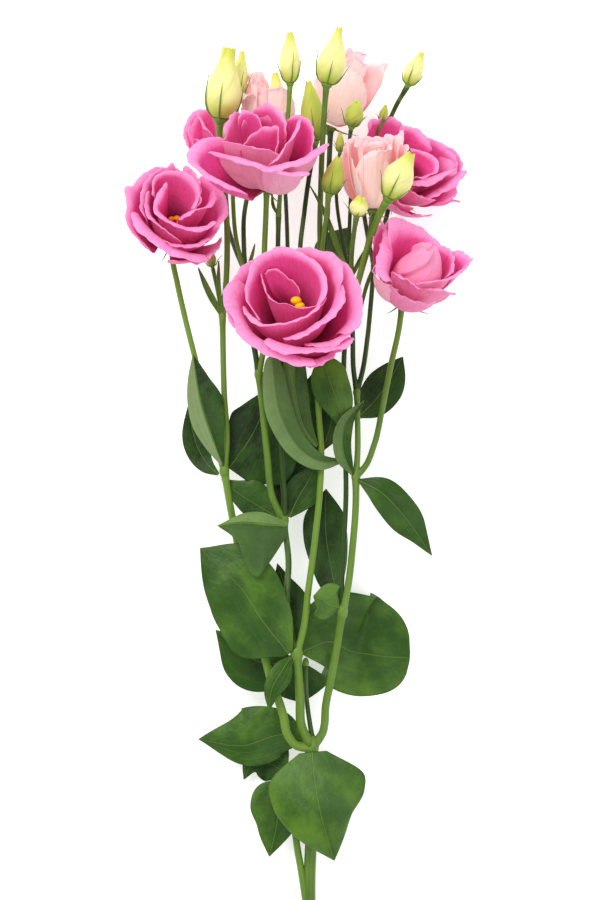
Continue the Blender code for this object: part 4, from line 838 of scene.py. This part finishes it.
# the tones are partly each leaf's own green and partly painted light and shade: the leaves that lie in the
# shade of others are set darkest
leaves = {
    "front": blade([(7.4, 146.3, 24.9), (9, 130, 32), (13, 108, 37), (21, 80, 27)],
        (9, 29, 29, 20, 12), (8, 27, 28, 23, 14), (-6, -7), 0.66),
    "under": blade([(-5.7, 127.7, 14.6), (-11, 117, 18), (-15, 97, 17), (-19, 80, 12)],
        (1, 8, 12, 11, 6), (1, 16, 18, 13, 8), (-2, -2), 0.5),
    "tuck": blade([(-8.3, 131.7, 11.7), (-20, 137, 9), (-30, 136, 9), (-35, 127, 7)],
        (1, 9, 11, 8, 4), (2, 14, 14, 9, 4), (-1, -1), 0.4),
    "low_left": blade([(3.5, 153, 16.8), (-12, 156, 16), (-33, 149.5, 17), (-63, 152.5, 10)],
        (2, 12, 15, 12, 6), (2, 14, 22, 21, 12), (-2, -3), 0.5),
    "big_left": blade([(-6.8, 207.4, 33.5), (-22, 227, 41), (-36, 248, 42), (-61, 272, 34)],
        (3, 24, 25, 23, 16), (3, 16, 21, 23, 19), (-3, -1), 0.55),
    "behind_left": blade([(-4.8, 204.5, 26.6), (-20, 200, 20), (-35, 206, 19), (-52, 221, 20)],
        (1, 13, 19, 17, 8), (1, 8, 12, 11, 6), (-2, 0), 0.45),
    "folded": blade([(-7.3, 285.6, 41.3), (-21, 287, 50), (-36, 288, 50), (-50, 286, 45)],
        (6, 24, 33, 24, 10), (2, 5, 7, 6, 3), (-4, -3), 0.6, halves=(-0.15, 0.25), film=(0.12, 0.35)),
    "big_right": blade([(1.3, 208, 26.8), (18, 213, 13), (34, 206, 2), (44, 204, -1.5), (68.5, 202, -1)],
        (2, 25, 36, 38, 33), (2, 18, 24, 27, 24), (0, 0), 0.55, rounded=True),
    "hanging": blade([(1.8, 200.6, 19.4), (0.5, 193, 15), (0, 185, 11.5), (1, 175, 10)],
        (1, 13, 16, 16, 11), (1, 14, 18, 17, 12), (0, 0), 0.35),
    "small_left": blade([(-5.6, 205.4, 33.2), (-12, 196, 38), (-17, 187, 39), (-19, 173, 37)],
        (1, 6, 8, 7, 4), (1, 5, 6, 5, 3), (-1, -1), 0.5),
    "dark_centre": blade([(-1.8, 210.7, 26.7), (-5, 228, 21.5), (-9, 246, 18.5), (-14, 262, 18.5)],
        (1, 9, 12, 11, 6), (1, 6, 13, 11, 5), (0, 0), 0.1),
    "dark_right": blade([(24.8, 236, 30.2), (20, 255, 25), (16, 280, 23), (16, 308, 24)],
        (1, 9, 12, 14, 12), (1, 6, 11, 13, 11), (0, 0), 0.15),
    "curl": blade([(23.6, 235.5, 35.6), (18, 238, 40), (14, 241, 42), (8, 243, 41)],
        (1, 8, 11, 10, 6), (1, 8, 12, 12, 8), (-2, -2), 0.7),
    "right_tip": blade([(35.7, 313.5, 42.2), (48, 307, 46), (63, 292, 41), (81, 267, 27)],
        (1, 9, 10.5, 9.5, 5), (1, 8, 10.5, 10, 5), (-1, -1), 0.4),
    "curved_up": blade([(31.7, 317.1, 43.1), (26.5, 330, 48), (27, 346, 49), (39, 362, 46)],
        (1, 5, 6, 5, 3), (1, 4, 5, 5, 2.5), (2, 2), 0.45, halves=(0.2, -0.1), film=(0.3, 0.0)),
    "dark_outer": blade([(35.5, 351.7, 39.8), (45, 361, 33), (54, 373, 30), (63, 389, 30)],
        (1, 9, 12, 12, 8), (1, 8, 11, 11, 7), (0, 0), 0.1),
    "olive": blade([(26.6, 344.8, 42.4), (23, 360, 50), (18, 374, 52), (14, 391, 49)],
        (1, 7, 11, 12, 9), (1, 7, 10, 11, 10), (-3, -2), 0.65),
    "long": blade([(26.3, 325.2, 40.2), (12, 325, 47), (-1, 334, 51), (-10, 350, 52), (-17, 389, 52)],
        (1, 6, 8, 9, 8), (1, 5, 7, 8, 7), (-1, -1), 0.5, halves=(0.25, -0.15), film=(0.4, 0.15),
        rounded=True),
    "long_inner": blade([(10.5, 334, 43), (3, 345, 46), (-2, 362, 47), (-3, 393, 46)],
        (1, 5, 8, 9, 8), (1, 5, 7, 8, 7), (-1, -1), 0.4, halves=(0.25, -0.2), film=(0.25, 0.05),
        rounded=True),
    "narrow": blade([(10.3, 330, 38.3), (7, 344, 36), (6, 358, 35), (8, 379, 36)],
        (1, 4, 6, 7, 6), (1, 4, 6, 7, 5), (0, 0), 0.3),
    "shadow": blade([(14, 332, 38.3), (18, 345, 35), (20, 356, 34), (22, 372, 35)],
        (1, 6, 8, 8, 6), (1, 6, 8, 8, 6), (0, 0), 0.1),
    "outer_left": blade([(-49.8, 317, 36.6), (-56.5, 323, 32.5), (-64, 337, 31), (-68, 361, 31)],
        (1, 6, 8, 7, 4), (1, 4, 7, 7, 4), (0, 0), 0.2),
    "sword_left": blade([(-47, 322.5, 41), (-53, 339, 45), (-60, 361, 46), (-65, 390, 44)],
        (1, 6, 9, 8, 5), (1, 6, 11, 13, 7), (2, 0), 0.4, halves=(0.35, -0.35), film=(0.75, 0.0)),
    "dark_left": blade([(-43.4, 320.7, 35.9), (-34, 334, 32), (-25, 350, 31), (-20, 369, 33)],
        (1, 9, 15, 17, 11), (13, 32, 33, 26, 12), (0, 0), 0.1),
    "fork_left": blade([(-13.5, 291, 37), (-24, 297, 36), (-37, 305, 35), (-48, 314, 33)],
        (1, 7, 9, 7, 4), (1, 8, 13, 12, 6), (0, 0), 0.4),
    "fork_right": blade([(-6.5, 291, 39.5), (-1, 303, 34), (5, 313, 33), (11, 325, 34)],
        (1, 7, 10, 9, 5), (1, 7, 11, 11, 6), (0, 0), 0.25),
    "fork_back": blade([(-10.2, 292, 35.2), (-7, 309, 28), (-3, 324, 26), (0, 345, 27)],
        (1, 9, 13, 13, 8), (1, 8, 12, 12, 8), (0, 0), 0.15),
    "high": blade([(13.6, 443.6, 40.3), (18, 449, 34), (24, 458, 33), (31, 468, 34)],
        (3, 10, 12, 11, 6), (2, 7, 8, 8, 4), (0, 0), 0.75, film=(0.35, 0.2)),
}

leafForm = {
    "rows": 60, "columns": 33, "thickness": 0.55, "wave": 0.07, "tip": 0.12, "trough": 0.35, "blunt": 14,
    "lastWidth": 0.8, "halfStart": 0.12,
}


def leafSheet(leaf, seed):
    # midrib + side * across * half width + normal * ((lift * across^2 + trough * (|across|^0.7 - 1))
    # * sin(pi * share) + edge waves); a rounded leaf stays wide up to its end, the others run to a tip
    form = leafForm
    places = np.linspace(0.0, 1.0, form["rows"])
    columns = np.linspace(-1.0, 1.0, form["columns"])
    centre = curveThrough(leaf["midrib"], places)
    before, beyond = (curveThrough(leaf["midrib"], places + nudge) for nudge in (-0.02, 0.02))
    heading = unit(beyond - before)
    side = unit(np.cross(heading, (0.0, 0.0, 1.0)))
    normal = np.cross(side, heading)
    if leaf["rounded"]:
        blunt = np.sqrt(1.0 - places ** form["blunt"]) * (1.0 - form["tip"]) + form["tip"]
        reachLeft, reachRight = (
            smoothWidths((*leaf[half], leaf[half][-1] * form["lastWidth"]), places) * blunt
            for half in ("left", "right")
        )
    else:
        reachLeft, reachRight = (
            smoothWidths((*leaf[half], form["tip"]), places) for half in ("left", "right")
        )
    across = np.broadcast_to(columns, (len(places), len(columns)))
    share = np.broadcast_to(places[:, None], across.shape)
    reach = np.where(across < 0, reachLeft[:, None], reachRight[:, None])
    lift = np.where(across < 0, *leaf["lift"]) * across**2 * np.sin(math.pi * share)
    lift = lift + form["wave"] * reach * waves(share * 7.0, seed + (across > 0) * 2.0) * across**4
    lift = lift + form["trough"] * (np.abs(across) ** 0.7 - 1.0) * np.sin(math.pi * share)
    points = centre[:, None, :] + side[:, None, :] * (across * reach)[..., None]
    points = points + normal[:, None, :] * lift[..., None]
    points[:, :, 2] = np.maximum(points[:, :, 2], form["thickness"] / 2)
    return points, across, share, reach


def makeLeaf(name, seed, finish):
    # a blade on the leaf's sheet, whose front looks up, thinner towards its rim
    leaf = leaves[name]
    points, across, share, reach = leafSheet(leaf, seed)
    shell = bladeShell(points, leafForm["thickness"] * (1.0 - 0.5 * np.abs(across) ** 3))
    offMidrib = ease(np.abs(across), 0.0, leafForm["halfStart"])
    # each half's painted light, and its film, fade in away from the midrib
    tone, film = (np.where(across < 0, *leaf[key]) * offMidrib for key in ("halves", "film"))
    shell["facts"] = sheetFacts(across, share, (leaf["tone"] + tone).ravel(), reach.ravel())
    shell["facts"]["film"] = np.tile(film.ravel(), 2)
    newPiece("blade_" + name, [shell], finish, "leaf", ["leaf_" + name])


# the stems, with the calyx under each flower and the narrow upper bracts

# where each swollen joint sits, and its radius
stemJoints = {
    "base": ((7, 150, 20), 5.2),
    "knot": ((8.5, 88, 9), 4.6),
    "shoot": ((-5, 132, 13), 3.0),
    "middle": ((-2, 207, 30), 4.6),
    "back": ((3.5, 201, 22), 2.4),
    "leftFork": ((-10, 289, 38), 3.8),
    "rightLow": ((26, 233, 33), 4.0),
    "rightMid": ((34, 316, 40), 3.4),
    "rightHigh": ((34.5, 367, 42), 2.8),
    "farLeft": ((-46, 319, 38), 3.6),
    "leftHigh": ((-47, 413, 45), 2.8),
    "upperFork": ((-25, 378, 46), 3.2),
    "upperPair": ((-33, 439, 46), 2.4),
    "centreFork": ((-10, 372, 42), 2.6),
    "centreHigh": ((-13, 474, 46), 2.2),
    "trio": ((12.5, 446, 43), 2.8),
    "rightFork": ((28, 412, 45), 2.6),
    "twigs": ((31, 436, 49), 2.4),
    "outerFork": ((45, 444, 37), 2.4),
}

# the radius of each stem at its start and at its end, and its route
stems = {
    "main": (3.6, 3.6, [(6, 0, 3.25), (6, 40, 4.9), (6, 68, 6.8), (7, 92, 9.5), (8, 122, 14.5),
        (7, 150, 20)]),
    "sideShoot": (2.3, 1.9, [(5, 42, 5), (1, 69, 7), (-2, 87, 8), (-4, 104, 9), (-5, 120, 11),
        (-5, 132, 13)]),
    "left": (2.7, 2.1, [(7, 149, 20), (-2, 150, 23), (-8, 158, 25.5), (-10, 168, 27), (-18, 192, 28),
        (-27, 228, 29), (-36, 264, 30), (-43, 300, 34), (-46, 319, 38)]),
    "centre": (2.8, 2.6, [(6, 151, 21), (1, 162, 25), (0, 180, 28), (-2, 207, 30)]),
    "thin": (1.5, 1.3, [(8, 152, 20), (6, 164, 21.5), (4, 180, 22), (3.5, 201, 22)]),
    "right": (2.5, 2.2, [(8, 150, 20), (13, 156, 21.5), (16, 176, 24), (20, 196, 27), (26, 233, 33)]),
    "leftCentre": (1.9, 1.8, [(-2, 207, 30), (-6, 220, 33), (-8, 242, 36), (-7, 264, 38), (-10, 289, 38)]),
    "rightCentre": (2.0, 1.7, [(-2, 207, 30), (2, 222, 33), (5, 246, 36), (9, 276, 38), (12, 306, 39),
        (13, 328, 40.5), (11, 362, 42), (12, 400, 42), (12.5, 446, 43)]),
    "upperLeft": (2.1, 1.9, [(-10, 289, 38), (-16, 301, 41), (-20, 330, 44), (-23, 360, 45), (-25, 378, 46)]),
    "upperBloom": (1.7, 1.6, [(-25, 378, 46), (-22.5, 390, 48), (-21.5, 420, 51), (-21.5, 450, 54),
        (-20.5, 474, 56), (-20, 489, 62)]),
    "upperBack": (1.7, 1.6, [(-25, 378, 46), (-27, 390, 46), (-31, 412, 46), (-33, 439, 46)]),
    "budB": (1.3, 1.2, [(-33, 439, 46), (-38, 456, 47), (-40.5, 482, 48), (-40, 512, 50), (-38, 542, 50)]),
    "paleLeft": (1.4, 1.4, [(-33, 439, 46), (-34, 455, 44.5), (-33.5, 478, 41), (-28, 498, 39),
        (-22, 510, 38)]),
    "backLeft": (1.4, 1.4, [(-33, 439, 46), (-39, 453, 35), (-45, 473, 18), (-46.5, 497, 6.77)]),
    "centreLeft": (1.9, 1.7, [(-10, 289, 38), (-9.5, 302, 40), (-11, 320, 41), (-12, 345, 42),
        (-10, 372, 42)]),
    "frontBloom": (1.8, 1.9, [(-10, 372, 42), (-8, 385, 45), (-5.5, 394, 50.5), (-3.5, 401, 57.5)]),
    "centreUpper": (1.5, 1.4, [(-10, 372, 42), (-12, 400, 42), (-13.5, 440, 44), (-13, 474, 46)]),
    "budD": (1.3, 1.3, [(-13, 474, 46), (-11, 500, 46), (-7.5, 530, 52), (-6, 552, 58)]),
    "budC": (1.3, 1.2, [(-10, 372, 42), (-8, 400, 40.5), (-7.5, 450, 34), (-9, 490, 24), (-11, 518, 17),
        (-13, 538, 16)]),
    "budE": (1.4, 1.4, [(11.5, 395, 42), (4, 420, 43), (0, 450, 44), (2.5, 475, 45), (6, 500, 47),
        (9, 518, 50)]),
    "budF": (1.6, 1.6, [(12.5, 446, 43), (12, 466, 50), (12.5, 490, 55), (13.5, 516, 60), (15, 540, 65),
        (16, 550, 68)]),
    "budK": (1.4, 1.3, [(12.5, 446, 43), (14, 458, 52), (15.5, 470, 63), (17.5, 484, 74)]),
    "paleTop": (1.6, 1.6, [(12.5, 446, 43), (16, 468, 36), (17.5, 498, 24), (19.5, 532, 13.32)]),
    "rightThin": (1.5, 1.5, [(26, 233, 33), (25.5, 246, 34), (26.5, 270, 35.5), (28, 305, 38),
        (27, 346, 40.5), (26.5, 381, 42.5), (28, 412, 45)]),
    "budL": (1.8, 2.1, [(28, 412, 45), (33, 426, 51), (38, 444, 60), (43, 461, 72), (48, 473, 82),
        (52, 480, 88)]),
    "paleRight": (1.5, 1.5, [(28, 412, 45), (34, 430, 46), (40, 452, 48), (43, 468, 52.5),
        (44, 476.5, 54.5)]),
    "rightThick": (2.1, 2.0, [(26, 233, 33), (29, 247, 35), (32, 272, 37), (34, 300, 39), (34, 316, 40)]),
    "rightUpper": (1.8, 1.6, [(34, 316, 40), (35, 330, 41), (35, 348, 42), (34.5, 367, 42)]),
    "rightBloom": (1.8, 1.7, [(34, 316, 40), (39, 321, 41), (45, 335, 43.5), (50, 358, 46), (55, 383, 47),
        (60, 406, 47.5), (62, 421, 52)]),
    "innerRight": (1.5, 1.4, [(34.5, 367, 42), (32.5, 380, 43.5), (32, 400, 46), (31, 436, 49)]),
    "budM": (1.4, 1.4, [(31, 436, 49), (31, 448, 56), (32, 460, 70), (33.5, 470, 86)]),
    "budI": (1.2, 1.1, [(31, 436, 49), (30, 460, 42), (31, 490, 35), (31, 510, 40), (30, 520, 52),
        (31, 526, 60)]),
    "budJ": (1.1, 1.0, [(31, 436, 49), (25.5, 460, 47), (22, 486, 47), (22.5, 502, 52), (24, 511, 58)]),
    "outer": (1.5, 1.4, [(34.5, 367, 42), (38, 380, 42), (41, 400, 41), (43, 420, 39.5), (45, 444, 37)]),
    "backRight": (1.4, 1.5, [(45, 444, 37), (48, 456, 28), (53, 474, 14.5), (57.5, 491, 6.5)]),
    "budG": (1.3, 1.4, [(45, 444, 37), (41, 466, 26), (39, 486, 15), (42, 508, 10), (52, 528, 15),
        (60, 545, 25), (66, 555, 32)]),
    "budH": (1.0, 1.0, [(42, 508, 10), (45, 520, 15), (50, 533, 26)]),
    "farLeftBloom": (1.7, 1.7, [(-46, 319, 38), (-51, 334, 37), (-57, 358, 36), (-63, 384, 36),
        (-70, 412, 36), (-75, 434, 34.5), (-78, 450, 35), (-77.5, 459.5, 40)]),
    "farLeftBud": (1.8, 1.7, [(-46, 319, 38), (-44.5, 336, 40), (-46, 366, 42.5), (-47, 413, 45)]),
    "budA": (1.7, 1.8, [(-47, 413, 45), (-45, 430, 47), (-44, 455, 49.5), (-45, 483, 51), (-48.5, 512, 55),
        (-48, 530, 62)]),
    "budN": (1.1, 1.0, [(-47, 413, 45), (-50, 428, 45.5), (-53, 443, 46)]),
    "budO": (0.9, 0.9, [(-46, 496, 52.5), (-45, 508, 48), (-44.5, 518, 45)]),
}

# the midrib of each narrow bract, and half its width
bracts = [
    ([(-47, 413, 46), (-54, 425, 49), (-62, 443, 50)], 1.9),
    ([(-47, 413, 46), (-49, 428, 52), (-49, 447, 52)], 1.4),
    ([(-47, 413, 46), (-44, 421, 51), (-41, 432, 52)], 1.2),
    ([(45, 444, 37), (40, 430, 41), (36, 412, 42)], 1.1),
    ([(31, 436, 49), (36, 446, 55), (43, 458, 56)], 1.2),
    ([(-33, 439, 46), (-30, 446, 49), (-27, 457, 50)], 1.0),
    ([(-13, 474, 46), (-16, 479, 48), (-17, 488, 48)], 0.9),
    ([(31, 436, 49), (25, 448, 53), (13, 478, 60), (5, 492, 60)], 1.6),
]

stemForm = {
    "step": 3.0, "sides": 16, "ridge": 0.03, "flare": 0.28, "flareLength": 5.0, "sink": 1.5,
    "bractLift": (0.4, 0.4), "bractTone": 0.5, "bractThickness": 0.5,
    # the stems that lie in shade behind the blooms and under the leaves, painted deep by a low tone: painted
    # shade
    "dark": ("budC", "budE", "budG", "budI", "budJ", "paleTop", "paleLeft", "backRight", "backLeft",
             "upperBack", "rightThin", "outer", "thin", "centreUpper", "leftCentre", "centreLeft",
             "innerRight"),
}

cups = {
    "bud": {"heights": (-3.2, -2.2, -1.0, -0.1, 0.5), "radii": (0.35, 0.62, 0.9, 1.0, 0.85), "tone": 0.75},
    "bloom": {"heights": (-6.0, -4.5, -2.5, -0.8, 0.1), "radii": (1.5, 2.0, 2.9, 3.6, 3.4), "tone": 0.6},
}

sepalForm = {
    "count": 5, "tone": 0.8,
    "budShares": (-0.02, 0.10, 0.30, 0.50, 0.68), "budAway": (-0.8, 0.4, 0.7, 1.7, 3.6),
    "bloomRadii": (2.0, 5.5, 10.0, 14.5, 18.0), "bloomHeights": (-0.8, -0.9, -0.6, 0.6, 1.5),
}


def toned(shell, tone):
    # a shell of one tone
    return {**shell, "facts": {"tone": tone}}


def stemShell(route, startRadius, endRadius, tone):
    # radius = start to end evenly, * (1 + flare * exp(-(distance to an end / length)^2)), with flat ends
    form = stemForm
    length = np.linalg.norm(np.diff(np.array(route, float), axis=0), axis=1).sum()
    places = np.linspace(0.0, 1.0, max(8, int(length / form["step"])))
    fromEnd = np.minimum(places, 1.0 - places) * length
    radii = startRadius + (endRadius - startRadius) * places
    radii = radii * (1.0 + form["flare"] * np.exp(-((fromEnd / form["flareLength"]) ** 2)))
    return toned(ringShell(tubeRings(curveThrough(route, places), radii, form["sides"], form["ridge"])), tone)


def ballShell(centre, axis, radius, slim, pole, rings, sides):
    # a ball drawn out along an axis: slim * radius * sin turn across it and 1.3 * radius * cos turn along it,
    # where the turn stops short of each end by pole
    turn = np.linspace(pole, math.pi - pole, rings)
    line = centre + np.outer(-np.cos(turn) * radius * 1.3, axis)
    return ringShell(tubeRings(line, slim * radius * np.sin(turn), sides))


def cupShell(kind, flower, tall=1.0, wide=1.0):
    # rings of the cup's radii at its heights, along the flower's way
    cup = cups[kind]
    line = np.array(flower["seat"], float) + np.outer(np.array(cup["heights"]) * tall, unit(flower["way"]))
    return toned(ringShell(tubeRings(line, np.array(cup["radii"]) * wide, 24)), cup["tone"])


def sepalShell(line, radius):
    # a thin round thread: radius * (1 - 0.85 * share^1.5)
    places = np.linspace(0.0, 1.0, 14)
    radii = radius * (1.0 - 0.85 * places**1.5)
    return toned(ringShell(tubeRings(curveThrough(line, places), radii, 8)), sepalForm["tone"])


def budRadius(share, bud):
    # below the widest place a round foot, above it tip + (widest - tip) * cos^neck
    at, tip = bud["at"], bud["tip"] / bud["widest"]
    foot = 0.25 + 0.75 * np.sqrt(np.clip(1.0 - ((at - share) / at) ** 2, 0.0, 1.0))
    top = tip + (1.0 - tip) * np.cos(np.clip((share - at) / (1 - at), 0, 1) * math.pi / 2) ** bud["neck"]
    return bud["widest"] * np.where(share < at, foot, top)


def acrossFrame(way):
    # two vectors across a way
    side = unit(np.cross(unit(way), (0.0, 0.0, 1.0)))
    return side, np.cross(side, unit(way))


def budSepals(bud, seed):
    # threads from the seat, close round the bud, whose tips lean away
    form = sepalForm
    draw = np.random.default_rng(seed)
    side, up = acrossFrame(bud["way"])
    shells = []
    for index in range(form["count"]):
        angle = math.tau * index / form["count"] + draw.uniform(0.0, 0.7)
        outward = side * math.cos(angle) + up * math.sin(angle)
        shares = np.array(form["budShares"]) * (0.6 + 0.4 * draw.random())
        away = budRadius(np.clip(shares, 0.0, 1.0), bud) + np.array(form["budAway"]) * draw.uniform(0.7, 1.5)
        line = np.array(bud["seat"], float) + np.outer(shares * bud["length"], unit(bud["way"]))
        shells.append(sepalShell(line + away[:, None] * outward, 0.3 + 0.035 * bud["widest"]))
    return shells


def bloomSepals(bloom, seed):
    # threads that lie along the back of the outer petals
    form = sepalForm
    draw = np.random.default_rng(seed)
    seat, axes = bloomFrame(bloom)
    shells = []
    for index in range(form["count"]):
        angle = math.tau * index / form["count"] + draw.uniform(0.0, 0.8)
        radii = np.array(form["bloomRadii"]) * draw.uniform(0.9, 1.1)
        heights = np.array(form["bloomHeights"]) - draw.uniform(0.0, 1.5) * np.linspace(0, 1, len(radii))
        line = np.stack([radii * math.cos(angle), radii * math.sin(angle), heights], axis=-1)
        shells.append(sepalShell(seat + line @ axes.T, 0.6))
    return shells


def makeStems(finish):
    # tubes along the routes, balls at the joints, cups and sepals under the flowers, and the bracts
    seats = {flower["seat"]: flower["way"] for flower in [*buds.values(), *blooms.values()]}
    shells = []
    for number, (stemName, (startRadius, endRadius, route)) in enumerate(stems.items()):
        if route[-1] in seats:
            sunk = np.array(route[-1]) - unit(seats[route[-1]]) * stemForm["sink"]
            route = [*route[:-1], tuple(sunk)]
        level = (number * 7) % 5  # mixes five levels of light over the stems that aren't in shade
        tone = 0.1 if stemName in stemForm["dark"] else 0.55 + 0.3 * level / 4
        shells.append(stemShell(route, startRadius, endRadius, tone))
    for centre, radius in stemJoints.values():
        ball = ballShell(np.array(centre), (0.0, 1.0, 0.0), radius, slim=0.85, pole=0.05, rings=12, sides=20)
        shells.append(toned(ball, 0.7))
    for number, bud in enumerate(buds.values()):
        shells.append(cupShell("bud", bud, 0.6 + 0.05 * bud["widest"], max(1.3, 0.42 * bud["widest"])))
        shells += budSepals(bud, number + 20)
    for number, bloom in enumerate(blooms.values()):
        shells.append(cupShell("bloom", bloom))
        shells += bloomSepals(bloom, number + 60)
    for midrib, width in bracts:
        half = (0.7 * width, width, width * 0.8)
        bract = blade(midrib, half, half, stemForm["bractLift"], stemForm["bractTone"])
        shell = bladeShell(leafSheet(bract, width)[0][::3, ::-4], stemForm["bractThickness"])
        shells.append(toned(shell, bract["tone"]))
    newPiece("branches", shells, finish, "stem", ["stems"])


# buds and hearts

budForm = {
    "rings": 56, "sides": 120, "folds": 3, "twist": 1.3, "frill": 1.0,
    "lipShares": (0.985, 0.95), "lipRadii": (0.55, 0.12),
}


def budShell(bud, seed):
    # radius = profile * (1 + 2 * depth * (ease(saw) - saw)), where saw runs from 0 to 1 round each fold and
    # turns by the twist along the bud; a frill at the mouth, and a lip that turns in
    form = budForm
    share = np.concatenate([np.linspace(0.0, 1.0, form["rings"]), form["lipShares"]])
    inside = np.concatenate([np.ones(form["rings"]), form["lipRadii"]])
    radii = budRadius(share, bud) * inside
    side, up = acrossFrame(bud["way"])
    angle = np.linspace(0.0, math.tau, form["sides"], endpoint=False)
    turn = angle[None, :] * form["folds"] / math.tau + form["twist"] * share[:, None] + seed
    saw = turn - np.floor(turn)
    fold = ease(saw, 0.0, 0.16) - saw
    depth = bud["foldDepth"] * ease(share, 0.05, 0.4)[:, None] * (1.0 + 1.5 * ease(share, 0.7, 1.0)[:, None])
    reach = radii[:, None] * (1.0 + depth * (fold * 2.0))
    frill = form["frill"] * waves(angle * 3.0, seed)[None, :] * ease(share, 0.85, 1.0)[:, None]
    height = share[:, None] * bud["length"] + frill
    height[0] = 0.0
    ring = side * np.cos(angle)[:, None] + up * np.sin(angle)[:, None]
    foot = np.array(bud["seat"], float) + unit(bud["way"]) * seatGap
    places = foot + height[..., None] * unit(bud["way"]) + reach[..., None] * ring[None]
    shell = ringShell(places[:, ::-1])
    across = np.broadcast_to(saw, reach.shape)[:, ::-1]
    shell["facts"] = {
        "share": np.broadcast_to(share[:, None], reach.shape).ravel(),
        "across": across.ravel(),
        "tone": np.full(reach.size, seed % 1.0),
    }
    return shell


def makeBud(letter, finishes):
    # the folded bud in the colour of its age
    colour = "green" if letter in greenBuds else "cream"
    shell = budShell(buds[letter], ord(letter) * 0.37)
    newPiece("foldedBud_" + letter, [shell], finishes[colour], "bud_" + colour, ["bud_" + letter])


hearts = {
    "stigma": {
        "bloom": "bloom_front", "thread": 0.9, "foot": 13.0,
        "tips": [((2.2, 2.4, 33.6), 2.5), ((4.4, -0.2, 31.8), 2.3)],
    },
    "stamens": {
        "bloom": "bloom_left", "thread": 0.6, "foot": 13.0,
        "tips": [((-2.2, 1.2, 22.0), 1.5), ((1.0, 1.2, 23.0), 1.6), ((2.4, -1.4, 22.0), 1.4)],
    },
}


def makeHeart(name, finish):
    # threads that leave one foot and end in lobes: each lobe is a ball drawn out along the bloom's x
    heart = hearts[name]
    seat, axes = bloomFrame(blooms[heart["bloom"]])
    foot = np.array((0.0, 0.0, heart["foot"]))
    shells = []
    for tip, radius in heart["tips"]:
        middle = (foot + np.array(tip)) / 2 + np.array((0.25 * tip[0], 0.25 * tip[1], 0.0))
        line = curveThrough([foot, middle, tip], np.linspace(0.0, 1.0, 16))
        shells.append(ringShell(tubeRings(seat + line @ axes.T, np.full(16, heart["thread"]), 12)))
        lobe = seat + np.array(tip) @ axes.T
        shells.append(ballShell(lobe, axes[:, 0], radius, slim=1.0, pole=0.06, rings=18, sides=24))
    newPiece(name + "Lobes", shells, finish, name, [name])


# stage, light and camera

stageForm = {
    "floorSize": 6.0, "floorGlow": 0.5, "air": 0.6, "aim": (0, 0.1, 0),
    "floorPale": (0.93, 0.93, 0.93, 1.0), "floorPaler": (0.95, 0.95, 0.95, 1.0),
    "lamps": {
        "keyLamp": {"place": (-0.9, 1.3, 1.9), "size": 1.4, "power": 34.0},
        "fillLamp": {"place": (1.2, -0.9, 1.8), "size": 1.8, "power": 12.0},
    },
}


def makeStage():
    # a flat floor, a broad soft lamp over the blooms, a weaker one from the foot end, and pale air
    form = stageForm
    white = (1.0, 1.0, 1.0, 1.0)
    bpy.ops.mesh.primitive_plane_add(size=form["floorSize"], location=(0.0, 0.0, 0.0))
    floor = bpy.context.object
    floor.name = "floor"
    finish = Finish("floorPaper", 0.9, glow=form["floorGlow"])
    finish.shader.inputs["Emission Color"].default_value = white
    grain = finish.noise(finish.objectPlace(), 40.0, 2.0)
    colour = finish.mixed(grain, form["floorPale"], form["floorPaler"])
    floor.data.materials.append(finish.finished(colour, grain, 0.02))
    for name, lamp in form["lamps"].items():
        light = bpy.data.lights.new(name, "AREA")
        light.shape = "DISK"
        light.size = lamp["size"]
        light.energy = lamp["power"]
        thing = bpy.data.objects.new(name, light)
        thing.location = lamp["place"]
        thing.rotation_euler = (Vector(form["aim"]) - thing.location).to_track_quat("-Z", "Y").to_euler()
        bpy.context.scene.collection.objects.link(thing)
    world = bpy.data.worlds.new("paleAir")
    world.use_nodes = True
    background = world.node_tree.nodes["Background"]
    background.inputs["Color"].default_value = white
    background.inputs["Strength"].default_value = form["air"]
    bpy.context.scene.world = world
    bpy.context.scene.view_settings.view_transform = "Standard"


def makeCamera():
    # straight above the photograph's middle, the blooms' end up
    camera = bpy.data.objects.new("camera", bpy.data.cameras.new("camera"))
    camera.data.lens = cameraView["lens"]
    camera.data.sensor_width = cameraView["sensor"]
    camera.data.clip_start = 0.01
    centre = np.array(cameraView["centre"]) + cameraView["nudge"]
    camera.location = workOrigin + np.array([*centre, cameraView["height"]]) * mm
    bpy.context.scene.collection.objects.link(camera)
    bpy.context.scene.camera = camera


makeCamera()
makeStage()
print("stage, light and camera ready")

petalFinishes = {
    "deep": petalFinish("petalDeep", petalDeepLook),
    "pale": petalFinish("petalPale", petalPaleLook),
}
for bloomName in blooms:
    makeBloom(bloomName, petalFinishes)
print("blooms made:", len(blooms))

leafGreen = leafFinish()
for number, leafName in enumerate(leaves):
    makeLeaf(leafName, number * 1.3, leafGreen)
print("leaves made:", len(leaves))

makeStems(stemFinish())
print("stems made")

budFinishes = {colour: budFinish("bud" + colour.title(), look) for colour, look in budLook.items()}
for budLetter in buds:
    makeBud(budLetter, budFinishes)
print("buds made:", len(buds))

makeHeart("stigma", heartFinish("stigmaYellow", paint(255, 224, 0), paint(246, 196, 0)))
makeHeart("stamens", heartFinish("antherOrange", paint(250, 190, 10), paint(226, 130, 6)))
print("hearts made")
